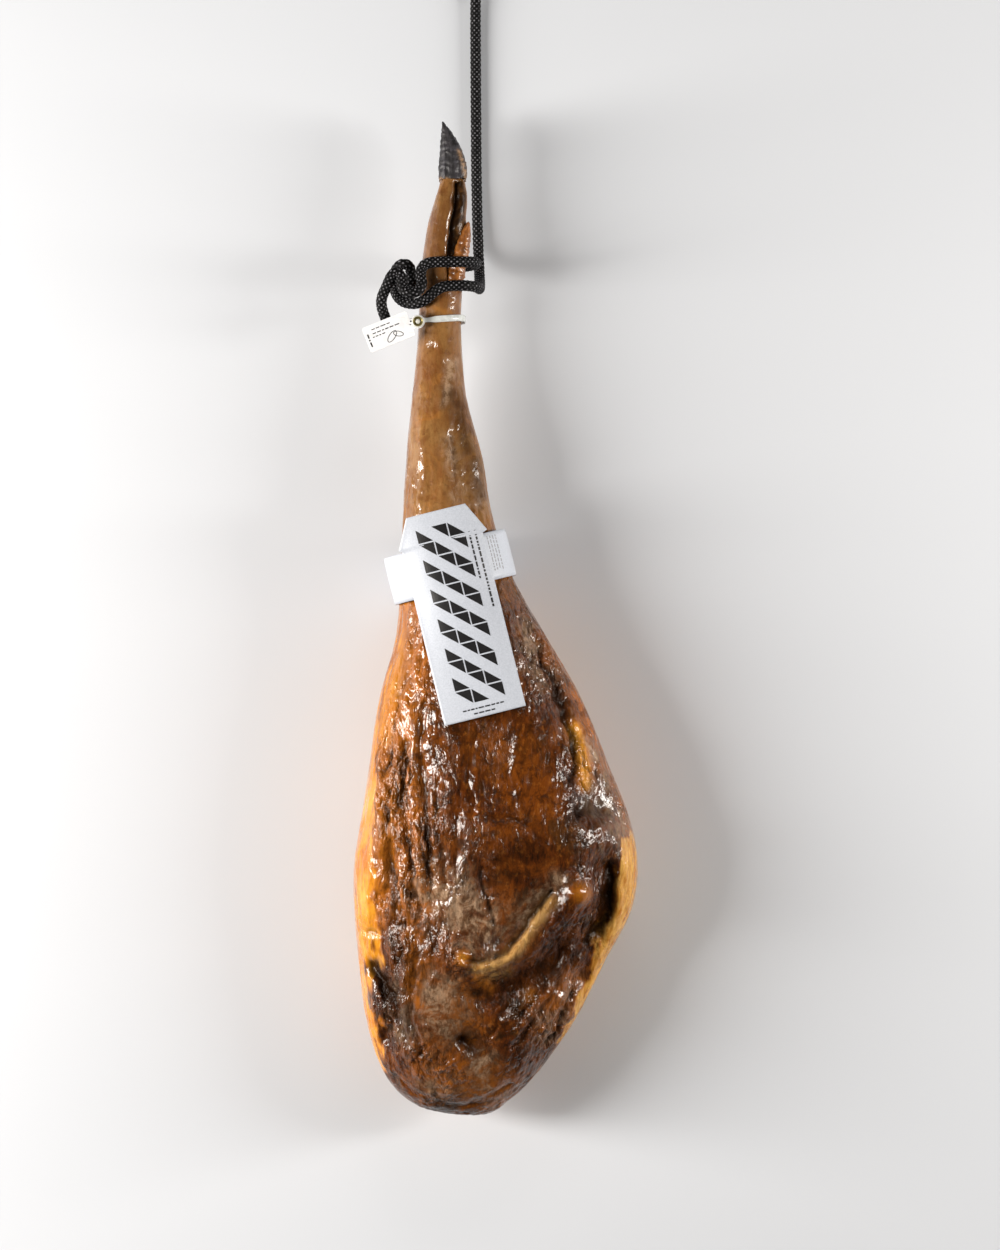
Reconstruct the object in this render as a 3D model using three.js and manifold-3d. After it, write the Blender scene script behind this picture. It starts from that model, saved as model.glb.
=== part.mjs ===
// A whole dry-cured ham that lies on its skin, meat side up, with its card label, its plastic seal
// and the braided rope that it hung from. Millimetres, +Z up, +Y from the rump towards the hoof,
// with the origin on the floor under the middle of the ham.
import * as THREE from "three";
import { ParametricGeometry } from "three/addons/geometries/ParametricGeometry.js";
import { mergeVertices } from "three/addons/utils/BufferGeometryUtils.js";
import Module from "manifold-3d";

const wasm = await Module();
wasm.setup();

// Driving dimensions
const HAM_END = -398.4;
const TOE_END = 353.6;
const HOOF_TIP = 398.4;
const GAP = 0.3;

// The ham's sections from the rump to the toes: place along the ham, left and right edge, underside
// and top, height of the widest level as a share of the depth, squareness above and below that level.
const SECTIONS = [
  [HAM_END, -34, -6, 46, 58, 0.5, 2, 2],
  [-394, -55, 3, 36, 70, 0.5, 2, 2],
  [-388, -68, 9, 29, 79, 0.5, 2.1, 2],
  [-376, -82, 23.6, 20, 90, 0.48, 2.2, 2.1],
  [-352, -95.6, 43.6, 9, 103, 0.46, 2.3, 2.2],
  [-316, -105.2, 67.6, 1, 115, 0.44, 2.4, 2.2],
  [-274, -110.5, 88.5, -3, 124, 0.43, 2.45, 2.2],
  [-232, -114, 110, -5, 130, 0.42, 2.5, 2.2],
  [-196, -114.2, 114.8, -5, 134, 0.42, 2.5, 2.2],
  [-160, -108.5, 108.5, -5, 135, 0.42, 2.45, 2.2],
  [-118, -102, 92, -3, 133, 0.42, 2.4, 2.2],
  [-64, -94, 70, 3, 127, 0.43, 2.35, 2.2],
  [-16, -81, 43, 10, 118, 0.45, 2.3, 2.2],
  [32, -76.8, 15.5, 18, 108, 0.47, 2.25, 2.2],
  [83, -74.8, -2, 26, 99, 0.5, 2.2, 2.2],
  [131, -72, -10, 32, 93, 0.5, 2.2, 2.1],
  [179, -67.6, -22.8, 38, 88.5, 0.5, 2.1, 2.1],
  [208, -64.4, -25.6, 42, 86, 0.5, 2, 2],
  [243, -62.4, -27, 44, 84, 0.5, 2, 2],
  [275, -61, -25.4, 44, 84, 0.5, 2, 2],
  [300, -58, -27, 43, 85, 0.5, 2.1, 2.1],
  [330, -52.6, -21, 42, 86, 0.5, 2.3, 2.3],
  [345, -47.5, -20, 43, 85, 0.5, 2.4, 2.4],
  [TOE_END, -45.4, -22.2, 44, 84, 0.5, 2.4, 2.4],
];

// Grooves and ridges of the meat side, seen from above: half width, height and the path that they follow.
const STROKES = [
  {
    name: "left rind edge", width: 9, height: -7,
    path: [[-86, -188], [-90, -232], [-91, -268], [-83, -304], [-87, -342]],
  },
  {
    name: "right rind edge", width: 10, height: -15,
    path: [[87, -194], [84, -228], [79, -256], [66, -286]],
  },
  { name: "right rind lower edge", width: 9, height: -6, path: [[66, -286], [50, -318], [36, -346]] },
  { name: "hip bone", width: 10, height: 7, path: [[-31, -265], [-4, -272], [26, -256], [62, -217]] },
  { name: "hollow under the bone", width: 15, height: -9, path: [[0, -296], [34, -280], [58, -254]] },
  { name: "scoop above the bone", width: 10, height: -4, path: [[12, -252], [30, -236], [50, -214]] },
  { name: "rump furrow", width: 10, height: -5, path: [[-24, -286], [-16, -312], [-11, -342]] },
  {
    name: "outer muscle seam", width: 9, height: -5,
    path: [[20, -4], [40, -48], [58, -84], [64, -112], [74, -146]],
  },
  {
    name: "inner muscle seam", width: 9, height: -5,
    path: [[-58, -118], [-66, -152], [-73, -196], [-75, -246]],
  },
  { name: "crossing furrow", width: 9, height: -4, path: [[-40, -182], [-55, -226], [-61, -252]] },
  { name: "right rind fold", width: 9, height: -4, path: [[76, -142], [92, -152], [104, -166]] },
  { name: "shin groove", width: 7, height: -4, path: [[-31, 150], [-24, 118], [-17, 84]] },
];

// Rounded lumps and dents of the meat side: centre, radius and height.
const LUMPS = [
  { name: "hip joint", at: [70, -216], radius: 13, height: 8 },
  { name: "bone knob", at: [-33, -264], radius: 9, height: 5 },
  { name: "rump cushion", at: [-52, -330], radius: 30, height: 5 },
  { name: "thigh muscle", at: [-4, -170], radius: 46, height: 4 },
  { name: "outer thigh", at: [66, -176], radius: 24, height: 5 },
  { name: "rump dent", at: [-24, -330], radius: 12, height: -5 },
  { name: "hock knob", at: [-60, 136], radius: 14, height: 2.5 },
];

// Steps along the ham: they grow from the rump, stay even over the meat and widen along the shank.
const FIRST_STEP = 2;
const STEP_GROWTH = 1.35;
const MEAT_STEP = 7.4;
const SHANK_STEP = 13;
const NECK = [-70, 120];
const HAM_SIDES = 48;
const TOP_SIDES = 34;

// The cleft between the two toes pinches the foot at its widest level.
const CLEFT_START = 312;
const CLEFT_DEPTH = 5;

// Each dewclaw stands off the back of the shank: base and tip, radius, and the height of its axis.
const DEWCLAW = { base: [-34, 268], tip: [-21.4, 318.4], radius: 6.8, sides: 12, levels: [72, 56] };
const DEWCLAW_PROFILE = [[0, 0], [1, 0], [0.97, 0.35], [0.84, 0.6], [0.58, 0.82], [0.28, 0.96], [0, 1]];

// The hooves: place along, left and right edge, and half height of each section.
const HOOF_SECTIONS = [
  [TOE_END + GAP, -45.6, -22.6, 9],
  [360, -46, -22.3, 9.4],
  [368, -45.2, -23.8, 8.8],
  [379, -44.6, -28, 7.2],
  [388, -43.8, -33.4, 5.2],
  [394, -43.4, -38, 3.2],
  [HOOF_TIP, -43.2, -41.4, 0.9],
];
const HOOF_SIDES = 14;
const HOOF_LEVELS = { hoof_inner: 74.2, hoof_outer: 53.8 };
const HOOF_ROWS = 9;
const HOOF_SQUARENESS = 2.4;

// The card label: a band round the neck and a long panel over the meat, both turned to the ham's line.
const LABEL_CENTRE = new THREE.Vector2(-36.4, 42.4);
const LABEL_TILT = THREE.MathUtils.degToRad(14);
const LABEL_BAND = { half: 50.4, under: 9, over: 114, width: 38, card: 1.2, squareness: 2.4, sides: 44 };
const LABEL_PANEL = { left: -33.6, right: 32, top: 45, bottom: -121, card: 1.2, lift: 0.6, clear: 3.6 };
const PANEL_SHOULDER = { top: 24, shoulder: 36, at: 21 };
const PANEL_CELLS = [7, 20];

// The seal: a strap round the shank and a plate with its lug, and the rivet that joins them.
const STRAP = { y: 239.6, width: 5.2, thickness: 1.2, tilt: THREE.MathUtils.degToRad(5), sides: 40 };
const STRAP_ROUTE = [
  [-24.6, 63.5], [-30, 80], [-44.7, 86], [-56, 86.2], [-65.6, 85.2], [-68, 81.6], [-65.8, 74],
  [-64.6, 63.5], [-59.5, 47.5], [-44.7, 41.4], [-30, 47.5],
];
const PLATE = { at: [-85, 229, 87.6], tilt: THREE.MathUtils.degToRad(21.8) };
const PLATE_SIZE = { length: 38, height: 21, thickness: 2, corner: 1.2, arc_sides: 10 };
const LUG = { at: [24.8, -1.1], radius: 5.4, neck: 4, pin_hole: 0.8, pin_at: 18.2 };
const RIVET = { radius: 4.9, height: 2.4, rim_side: 1.7, rim_round: 0.5, sides: 16 };
const RIVET_CUP = { radius: 3.3, side: 1.9, round: 0.3, floor: 0.8 };
const RIVET_DOME = { radius: 1.9, crown: 1.3, height: 1.8 };

// The rope: its route from the tip of the loop at the far end, along the floor, round the shank and
// through the knot to its free end.
const ROPE_RADIUS = 4.5;
const ROPE_SIDES = 10;
const ROPE_ROUTE = [
  [-26.2, 514, 6.6], [-26.2, 532, 6.6], [-26.4, 549, 6.6], [-33, 566, 5.4], [-35.4, 584, 4.8],
  [-28, 600, 4.8], [-12, 600, 4.8], [-5, 584, 4.8], [-8.6, 566, 5.4], [-16, 549, 6.6],
  [-16.3, 532, 6.6], [-16.3, 514, 6.6], [-16.4, 492, 5.2], [-16.3, 460, 4.8], [-16, 410, 4.8],
  [-15.6, 360, 4.8], [-14.8, 322, 4.8], [-14, 300, 6.6], [-13.2, 283, 15], [-12.8, 272, 31],
  [-13, 267, 48], [-13.8, 266, 65], [-17.5, 266, 79], [-25.5, 266, 87.5], [-35, 265.6, 89.6],
  [-42.5, 264.4, 90], [-49, 260.6, 88.8], [-55, 255.6, 87], [-62, 252.2, 84.6], [-70, 252.6, 80],
  [-76.6, 256.6, 73], [-80.4, 263.6, 68], [-81.6, 272, 69], [-79.6, 279.4, 74], [-75, 283.6, 78],
  [-70, 283, 78.6], [-67.2, 278.6, 75.4], [-66.8, 274.2, 68], [-66.6, 273, 58], [-63.6, 274, 47.4],
  [-57, 277, 40.2], [-43.5, 281.5, 38], [-28, 284.8, 40.4], [-18.6, 285.8, 49.5], [-15.6, 285.9, 64],
  [-18.4, 285.6, 78.4], [-29, 284.8, 88], [-42, 284.6, 89.6], [-53, 284, 88.6], [-60, 280.4, 87.4],
  [-62, 273.6, 88.6], [-60.8, 266.6, 91.8], [-62.6, 260.6, 94], [-68, 257.8, 94.6], [-74, 260, 93],
  [-76.6, 266.6, 91.2], [-77.4, 272.4, 90.6], [-80.2, 276.6, 90.2], [-84.6, 277.6, 90],
  [-88.2, 274.8, 89.9], [-90, 268, 89.5], [-90.8, 261, 88.6], [-90.6, 256, 87], [-90, 247.4, 83.8],
  [-87.4, 240, 82], [-84.6, 233.6, 81.8],
];
const EYE_END = 514;
const EYE_STEPS = 24;
const LEAD_END_HEIGHT = 65;
const LEAD_STEPS = 18;
const HITCH_STEPS = 62;
const FERRULE = { at: [-21.25, 519, 6.6], half: 4.95, length: 22, wall: 1.5, clear: 0.4, sides: 6 };

const COLOURS = {
  ham: 0x8f4f1d,
  hoof: 0x2b282a,
  label: 0xe9e9ea,
  seal: 0xeeeeec,
  rivet: 0x8b8462,
  rope: 0x17171a,
  ferrule: 0x202024,
};

const ramp = (value, low, high) => THREE.MathUtils.smoothstep(value, low, high);
const bell = (distance, width) => Math.exp(-((distance / width) ** 2));

// A closed shape keeps one vertex at each place and no triangle that has lost its area.
function closedShape(geometry) {
  geometry.deleteAttribute("normal");
  geometry.deleteAttribute("uv");
  const merged = mergeVertices(geometry, 1e-3);
  const corners = merged.index.array;
  const kept = [];
  for (let i = 0; i < corners.length; i += 3) {
    const [a, b, c] = corners.slice(i, i + 3);
    if (a !== b && b !== c && c !== a) kept.push(a, b, c);
  }
  merged.setIndex(kept);
  return merged;
}

function toSolid(geometry) {
  const closed = closedShape(geometry);
  return new wasm.Manifold(new wasm.Mesh({
    numProp: 3,
    vertProperties: new Float32Array(closed.attributes.position.array),
    triVerts: new Uint32Array(closed.index.array),
  }));
}

function fromSolid(solid) {
  const mesh = solid.getMesh();
  const geometry = new THREE.BufferGeometry();
  geometry.setAttribute("position", new THREE.BufferAttribute(mesh.vertProperties, 3));
  geometry.setIndex(new THREE.BufferAttribute(mesh.triVerts, 1));
  return geometry;
}

// A skin through the rings at the given places, closed by a point in the middle of each end.
function loftGeometry(ringPoint, places, sides) {
  const rows = places.length + 1;
  const ends = [places[0], places.at(-1)].map((place) => {
    const ring = Array.from({ length: sides }, (_, i) => ringPoint(i / sides, place));
    return ring.reduce((sum, point) => sum.add(point), new THREE.Vector3()).divideScalar(sides);
  });
  const surface = (u, v, target) => {
    const row = Math.round(v * rows);
    if (row === 0) target.copy(ends[0]);
    else if (row === rows) target.copy(ends[1]);
    else target.copy(ringPoint(u, places[row - 1]));
  };
  return closedShape(new ParametricGeometry(surface, sides, rows));
}

function tableOf(rows) {
  const values = rows.flatMap((row) => row.slice(1));
  return new THREE.CubicInterpolant(rows.map((row) => row[0]), values, rows[0].length - 1);
}

const squareRise = (across, squareness) =>
  Math.max(0, 1 - Math.abs(across) ** squareness) ** (1 / squareness);

const hamTable = tableOf(SECTIONS);

function sectionAt(y) {
  const [left, right, under, top, share, upper, lower] = hamTable.evaluate(y);
  const middle = under + (top - under) * share;
  return { centre: (left + right) / 2, half: (right - left) / 2, middle, under, top, upper, lower };
}

// The smooth height of the meat side, without its relief
function hamTop(x, y) {
  const s = sectionAt(y);
  return s.middle + (s.top - s.middle) * squareRise(Math.min(1, Math.abs(x - s.centre) / s.half), s.upper);
}

const STROKE_POINTS = 14;
const strokeLines = STROKES.map(({ path }) => {
  const curve = new THREE.SplineCurve(path.map(([x, y]) => new THREE.Vector2(x, y)));
  const points = curve.getPoints(STROKE_POINTS).map((p) => new THREE.Vector3(p.x, p.y, 0));
  return points.slice(1).map((end, i) => new THREE.Line3(points[i], end));
});

function reliefAt(x, y) {
  const here = new THREE.Vector3(x, y, 0);
  const nearest = new THREE.Vector3();
  let height = 0;
  STROKES.forEach((stroke, i) => {
    const distances = strokeLines[i].map((leg) => {
      leg.closestPointToPoint(here, true, nearest);
      return nearest.distanceTo(here);
    });
    height += stroke.height * bell(Math.min(...distances), stroke.width);
  });
  LUMPS.forEach((lump) => {
    height += lump.height * bell(Math.hypot(x - lump.at[0], y - lump.at[1]), lump.radius);
  });
  return height;
}

// A point of the ham: u runs from the left edge over the meat to the right edge and back underneath.
function hamPoint(u, y) {
  const s = sectionAt(y);
  const side = Math.round(u * HAM_SIDES);
  const above = side <= TOP_SIDES;
  const turn = above ? side / TOP_SIDES : 1 - (side - TOP_SIDES) / (HAM_SIDES - TOP_SIDES);
  const across = -Math.cos(Math.PI * turn);
  const rise = squareRise(across, above ? s.upper : s.lower);
  const height = above ? (s.top - s.middle) * rise : (s.under - s.middle) * rise;
  const point = new THREE.Vector3(s.centre + s.half * across, y, s.middle + height);
  const facing = above ? ramp(rise, 0.1, 0.7) : 0;
  point.z += reliefAt(point.x, y) * facing;
  point.x -= across * CLEFT_DEPTH * ramp(y, CLEFT_START, TOE_END) * (1 - rise) ** 3;
  point.z = Math.max(point.z, 0);
  return point;
}

function hamPlaces() {
  const places = [HAM_END];
  let step = FIRST_STEP;
  while (places.at(-1) + step < TOE_END - SHANK_STEP / 2) {
    places.push(places.at(-1) + step);
    const even = THREE.MathUtils.mapLinear(ramp(places.at(-1), ...NECK), 0, 1, MEAT_STEP, SHANK_STEP);
    step = Math.min(step * STEP_GROWTH, even);
  }
  return [...places, TOE_END];
}

function dewclawGeometry(level) {
  const base = new THREE.Vector3(...DEWCLAW.base, level);
  const line = new THREE.Vector3(...DEWCLAW.tip, level).sub(base);
  const profile = DEWCLAW_PROFILE.map(([r, h]) => new THREE.Vector2(r * DEWCLAW.radius, h * line.length()));
  const claw = new THREE.LatheGeometry(profile, DEWCLAW.sides);
  const upright = THREE.Object3D.DEFAULT_UP;
  claw.applyQuaternion(new THREE.Quaternion().setFromUnitVectors(upright, line.normalize()));
  return claw.translate(base.x, base.y, base.z);
}

function hamGeometry() {
  let ham = toSolid(loftGeometry(hamPoint, hamPlaces(), HAM_SIDES));
  DEWCLAW.levels.forEach((level) => {
    ham = ham.add(toSolid(dewclawGeometry(level)));
  });
  return fromSolid(ham);
}

function hoofGeometry(level) {
  const table = tableOf(HOOF_SECTIONS);
  const start = HOOF_SECTIONS[0][0];
  const length = HOOF_SECTIONS.at(-1)[0] - start;
  const places = Array.from({ length: HOOF_ROWS + 1 }, (_, i) => start + (length * i) / HOOF_ROWS);
  const hoofPoint = (u, y) => {
    const [left, right, halfHeight] = table.evaluate(y);
    const across = -Math.cos(2 * Math.PI * u);
    const up = u <= 0.5 ? 1 : -1;
    const height = level + up * halfHeight * squareRise(across, HOOF_SQUARENESS);
    return new THREE.Vector3((left + right) / 2 + ((right - left) / 2) * across, y, height);
  };
  return loftGeometry(hoofPoint, places, HOOF_SIDES);
}

// The label's own axes: u across the band, v up along the panel.
function fromLabel(u, v) {
  return new THREE.Vector2(u, v).rotateAround(new THREE.Vector2(), LABEL_TILT).add(LABEL_CENTRE);
}

const bandMiddle = (LABEL_BAND.under + LABEL_BAND.over) / 2;
const bandRise = (LABEL_BAND.over - LABEL_BAND.under) / 2;

function bandOutline(inset) {
  return Array.from({ length: LABEL_BAND.sides }, (_, i) => {
    const angle = (2 * Math.PI * i) / LABEL_BAND.sides;
    const across = Math.cos(angle);
    const rise = Math.sign(Math.sin(angle)) * squareRise(across, LABEL_BAND.squareness);
    return new THREE.Vector2((LABEL_BAND.half - inset) * across, bandMiddle + (bandRise - inset) * rise);
  });
}

function bandGeometry() {
  const outline = new THREE.Shape(bandOutline(0));
  outline.holes.push(new THREE.Path(bandOutline(LABEL_BAND.card)));
  const band = new THREE.ExtrudeGeometry(outline, { depth: LABEL_BAND.width, bevelEnabled: false });
  band.rotateX(Math.PI / 2).translate(0, LABEL_BAND.width / 2, 0);
  return band.rotateZ(LABEL_TILT).translate(LABEL_CENTRE.x, LABEL_CENTRE.y, 0);
}

// The panel lies on the band, then on the meat. Above the band its corners are cut back.
function panelGeometry() {
  const { left, right, top, bottom, card, lift, clear } = LABEL_PANEL;
  const panel = new THREE.BoxGeometry(1, top - bottom, card, ...PANEL_CELLS, 1);
  const place = panel.attributes.position;
  for (let i = 0; i < place.count; i += 1) {
    const v = place.getY(i) + (top + bottom) / 2;
    const cutBack = ramp(v, PANEL_SHOULDER.at, top);
    const shoulder = THREE.MathUtils.lerp(PANEL_SHOULDER.shoulder, PANEL_SHOULDER.top, cutBack);
    const low = v > PANEL_SHOULDER.at ? -shoulder : left;
    const high = v > PANEL_SHOULDER.at ? shoulder : right;
    const u = THREE.MathUtils.lerp(low, high, place.getX(i) + 0.5);
    const spot = fromLabel(u, v);
    const onBand = bandMiddle + bandRise * squareRise(u / LABEL_BAND.half, LABEL_BAND.squareness) + lift;
    const onMeat = hamTop(spot.x, spot.y) + clear + card;
    const height = Math.max(onBand, onMeat) - card / 2 + place.getZ(i);
    place.setXYZ(i, spot.x, spot.y, height);
  }
  return panel;
}

function labelGeometry() {
  return fromSolid(toSolid(bandGeometry()).add(toSolid(panelGeometry())));
}

function strapGeometry() {
  const route = new THREE.CatmullRomCurve3(STRAP_ROUTE.map(([x, z]) => new THREE.Vector3(x, z, 0)), true);
  const outline = (offset) => Array.from({ length: STRAP.sides }, (_, i) => {
    const t = i / STRAP.sides;
    const along = route.getTangentAt(t);
    const point = route.getPointAt(t);
    return new THREE.Vector2(point.x - along.y * offset, point.y + along.x * offset);
  });
  const shape = new THREE.Shape(outline(-STRAP.thickness / 2));
  shape.holes.push(new THREE.Path(outline(STRAP.thickness / 2)));
  const strap = new THREE.ExtrudeGeometry(shape, { depth: STRAP.width, bevelEnabled: false });
  const [turnX] = STRAP_ROUTE[2];
  strap.rotateX(Math.PI / 2).translate(-turnX, STRAP.width / 2, 0);
  return closedShape(strap.rotateZ(STRAP.tilt).translate(turnX, STRAP.y, 0));
}

function plateGeometry() {
  const { length, height, thickness, corner, arc_sides: curveSegments } = PLATE_SIZE;
  const x = length / 2;
  const y = height / 2;
  const [lugX, lugY] = LUG.at;
  const neckAngle = Math.asin(LUG.neck / LUG.radius);
  const shape = new THREE.Shape();
  shape.moveTo(-x + corner, -y);
  shape.lineTo(x - corner, -y);
  shape.lineTo(x, -y + corner);
  shape.lineTo(x, lugY - LUG.neck);
  shape.absarc(lugX, lugY, LUG.radius, neckAngle - Math.PI, Math.PI - neckAngle, false);
  shape.lineTo(x, lugY + LUG.neck);
  shape.lineTo(x, y - corner);
  shape.lineTo(x - corner, y);
  shape.lineTo(-x + corner, y);
  shape.lineTo(-x, y - corner);
  shape.lineTo(-x, -y + corner);
  const pinHole = new THREE.Path();
  pinHole.absarc(LUG.pin_at, lugY, LUG.pin_hole, 0, 2 * Math.PI, false);
  shape.holes.push(pinHole);
  const settings = { depth: thickness, bevelEnabled: false, curveSegments };
  return closedShape(new THREE.ExtrudeGeometry(shape, settings));
}

function rivetGeometry() {
  const { radius, height, rim_side: rimSide, rim_round: rimRound, sides } = RIVET;
  const profile = [
    [0, 0], [radius, 0], [radius, rimSide], [radius - rimRound, height],
    [RIVET_CUP.radius + RIVET_CUP.round, height], [RIVET_CUP.radius, RIVET_CUP.side],
    [RIVET_CUP.radius, RIVET_CUP.floor], [RIVET_DOME.radius, RIVET_CUP.floor],
    [RIVET_DOME.crown, RIVET_DOME.height], [0, RIVET_DOME.height],
  ];
  const rivet = new THREE.LatheGeometry(profile.map(([r, h]) => new THREE.Vector2(r, h)), sides);
  return closedShape(rivet.rotateX(Math.PI / 2));
}

const ropePoints = ROPE_ROUTE.map((point) => new THREE.Vector3(...point));
const ropeRoute = new THREE.CatmullRomCurve3(ropePoints, false, "centripetal");
ropeRoute.arcLengthDivisions = 2000;
const ropeLength = ropeRoute.getLength();

// A stretch of the rope between two lengths along it
class RopeStretch extends THREE.Curve {
  constructor(start, end) {
    super();
    this.start = start;
    this.end = end;
  }

  getPoint(t, target) {
    return ropeRoute.getPointAt((this.start + (this.end - this.start) * t) / ropeLength, target);
  }
}

function lengthAt(reached) {
  const count = ropeRoute.arcLengthDivisions;
  const steps = Array.from({ length: count }, (_, i) => i + 1);
  return (steps.find((step) => reached(ropeRoute.getPointAt(step / count))) / count) * ropeLength;
}

function ropeGeometry(start, end, steps) {
  const section = new THREE.Shape();
  section.absarc(0, 0, ROPE_RADIUS, 0, 2 * Math.PI, false);
  const settings = {
    steps,
    curveSegments: ROPE_SIDES / 2,
    bevelEnabled: false,
    extrudePath: new RopeStretch(start, end),
  };
  return closedShape(new THREE.ExtrudeGeometry(section, settings));
}

function ferruleGeometry() {
  const outer = ROPE_RADIUS + FERRULE.clear + FERRULE.wall;
  const bore = ROPE_RADIUS + FERRULE.clear;
  const around = (path, radius) => {
    path.absarc(FERRULE.half, 0, radius, -Math.PI / 2, Math.PI / 2, false);
    path.absarc(-FERRULE.half, 0, radius, Math.PI / 2, 1.5 * Math.PI, false);
    return path;
  };
  const shape = around(new THREE.Shape(), outer);
  shape.holes.push(around(new THREE.Path(), bore));
  const settings = { depth: FERRULE.length, bevelEnabled: false, curveSegments: FERRULE.sides };
  return closedShape(new THREE.ExtrudeGeometry(shape, settings).rotateX(-Math.PI / 2));
}

function material(color, roughness, metalness = 0) {
  return new THREE.MeshStandardMaterial({ color, roughness, metalness });
}

function named(name, geometry, finish) {
  const mesh = new THREE.Mesh(geometry, finish);
  mesh.name = name;
  return mesh;
}

const part = new THREE.Group();
part.add(named("ham", hamGeometry(), material(COLOURS.ham, 0.35)));
Object.entries(HOOF_LEVELS).forEach(([name, level]) => {
  part.add(named(name, hoofGeometry(level), material(COLOURS.hoof, 0.6)));
});
part.add(named("label", labelGeometry(), material(COLOURS.label, 0.6)));

const strap = named("strap", strapGeometry(), material(COLOURS.seal, 0.4));
const plate = named("tag", plateGeometry(), material(COLOURS.seal, 0.4));
const rivet = named("rivet", rivetGeometry(), material(COLOURS.rivet, 0.4, 0.6));
rivet.position.set(...LUG.at, PLATE_SIZE.thickness + GAP);
const seal = new THREE.Group();
seal.position.set(...PLATE.at);
seal.rotation.z = PLATE.tilt;
seal.add(plate, rivet);
part.add(strap, seal);

const eyeLength = lengthAt((point) => point.y < EYE_END && point.x > FERRULE.at[0]);
const leadLength = lengthAt((point) => point.z > LEAD_END_HEIGHT);
const ropeFinish = () => material(COLOURS.rope, 0.75);
part.add(named("rope_eye", ropeGeometry(0, eyeLength, EYE_STEPS), ropeFinish()));
part.add(named("rope_lead", ropeGeometry(eyeLength + GAP, leadLength, LEAD_STEPS), ropeFinish()));
part.add(named("rope_hitch", ropeGeometry(leadLength + GAP, ropeLength, HITCH_STEPS), ropeFinish()));
const ferrule = named("rope_ferrule", ferruleGeometry(), material(COLOURS.ferrule, 0.6));
ferrule.position.set(...FERRULE.at);
part.add(ferrule);

export default part;
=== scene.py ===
import math
import random

import bmesh
import bpy
import numpy as np
from mathutils import Matrix, Vector, noise
from mathutils.bvhtree import BVHTree


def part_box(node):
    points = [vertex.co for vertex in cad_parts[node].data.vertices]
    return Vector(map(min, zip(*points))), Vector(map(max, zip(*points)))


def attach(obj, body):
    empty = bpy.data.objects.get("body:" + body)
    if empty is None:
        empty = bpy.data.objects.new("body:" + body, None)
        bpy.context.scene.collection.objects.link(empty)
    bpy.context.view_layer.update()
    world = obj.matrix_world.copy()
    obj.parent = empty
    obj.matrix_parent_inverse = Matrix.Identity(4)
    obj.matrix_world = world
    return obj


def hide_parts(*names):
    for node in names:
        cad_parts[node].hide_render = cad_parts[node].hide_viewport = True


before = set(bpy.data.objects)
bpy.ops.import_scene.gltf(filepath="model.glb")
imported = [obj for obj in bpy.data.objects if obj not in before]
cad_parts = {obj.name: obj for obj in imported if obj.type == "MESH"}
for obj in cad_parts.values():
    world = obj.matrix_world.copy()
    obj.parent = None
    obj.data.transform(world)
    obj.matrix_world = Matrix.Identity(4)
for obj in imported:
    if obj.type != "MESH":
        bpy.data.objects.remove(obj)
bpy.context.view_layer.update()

BODY = "root"
MM = 0.001

# Camera: straight above the ham, with the photograph's frame of 0.8 m by 1.0 m around it
FRAME_HEIGHT = 1.0
CAMERA_DISTANCE = 3.0
FOCUS_LEVEL = 0.07
CAMERA_AT = (0.0036, -0.004)
SENSOR = 36.0

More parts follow.
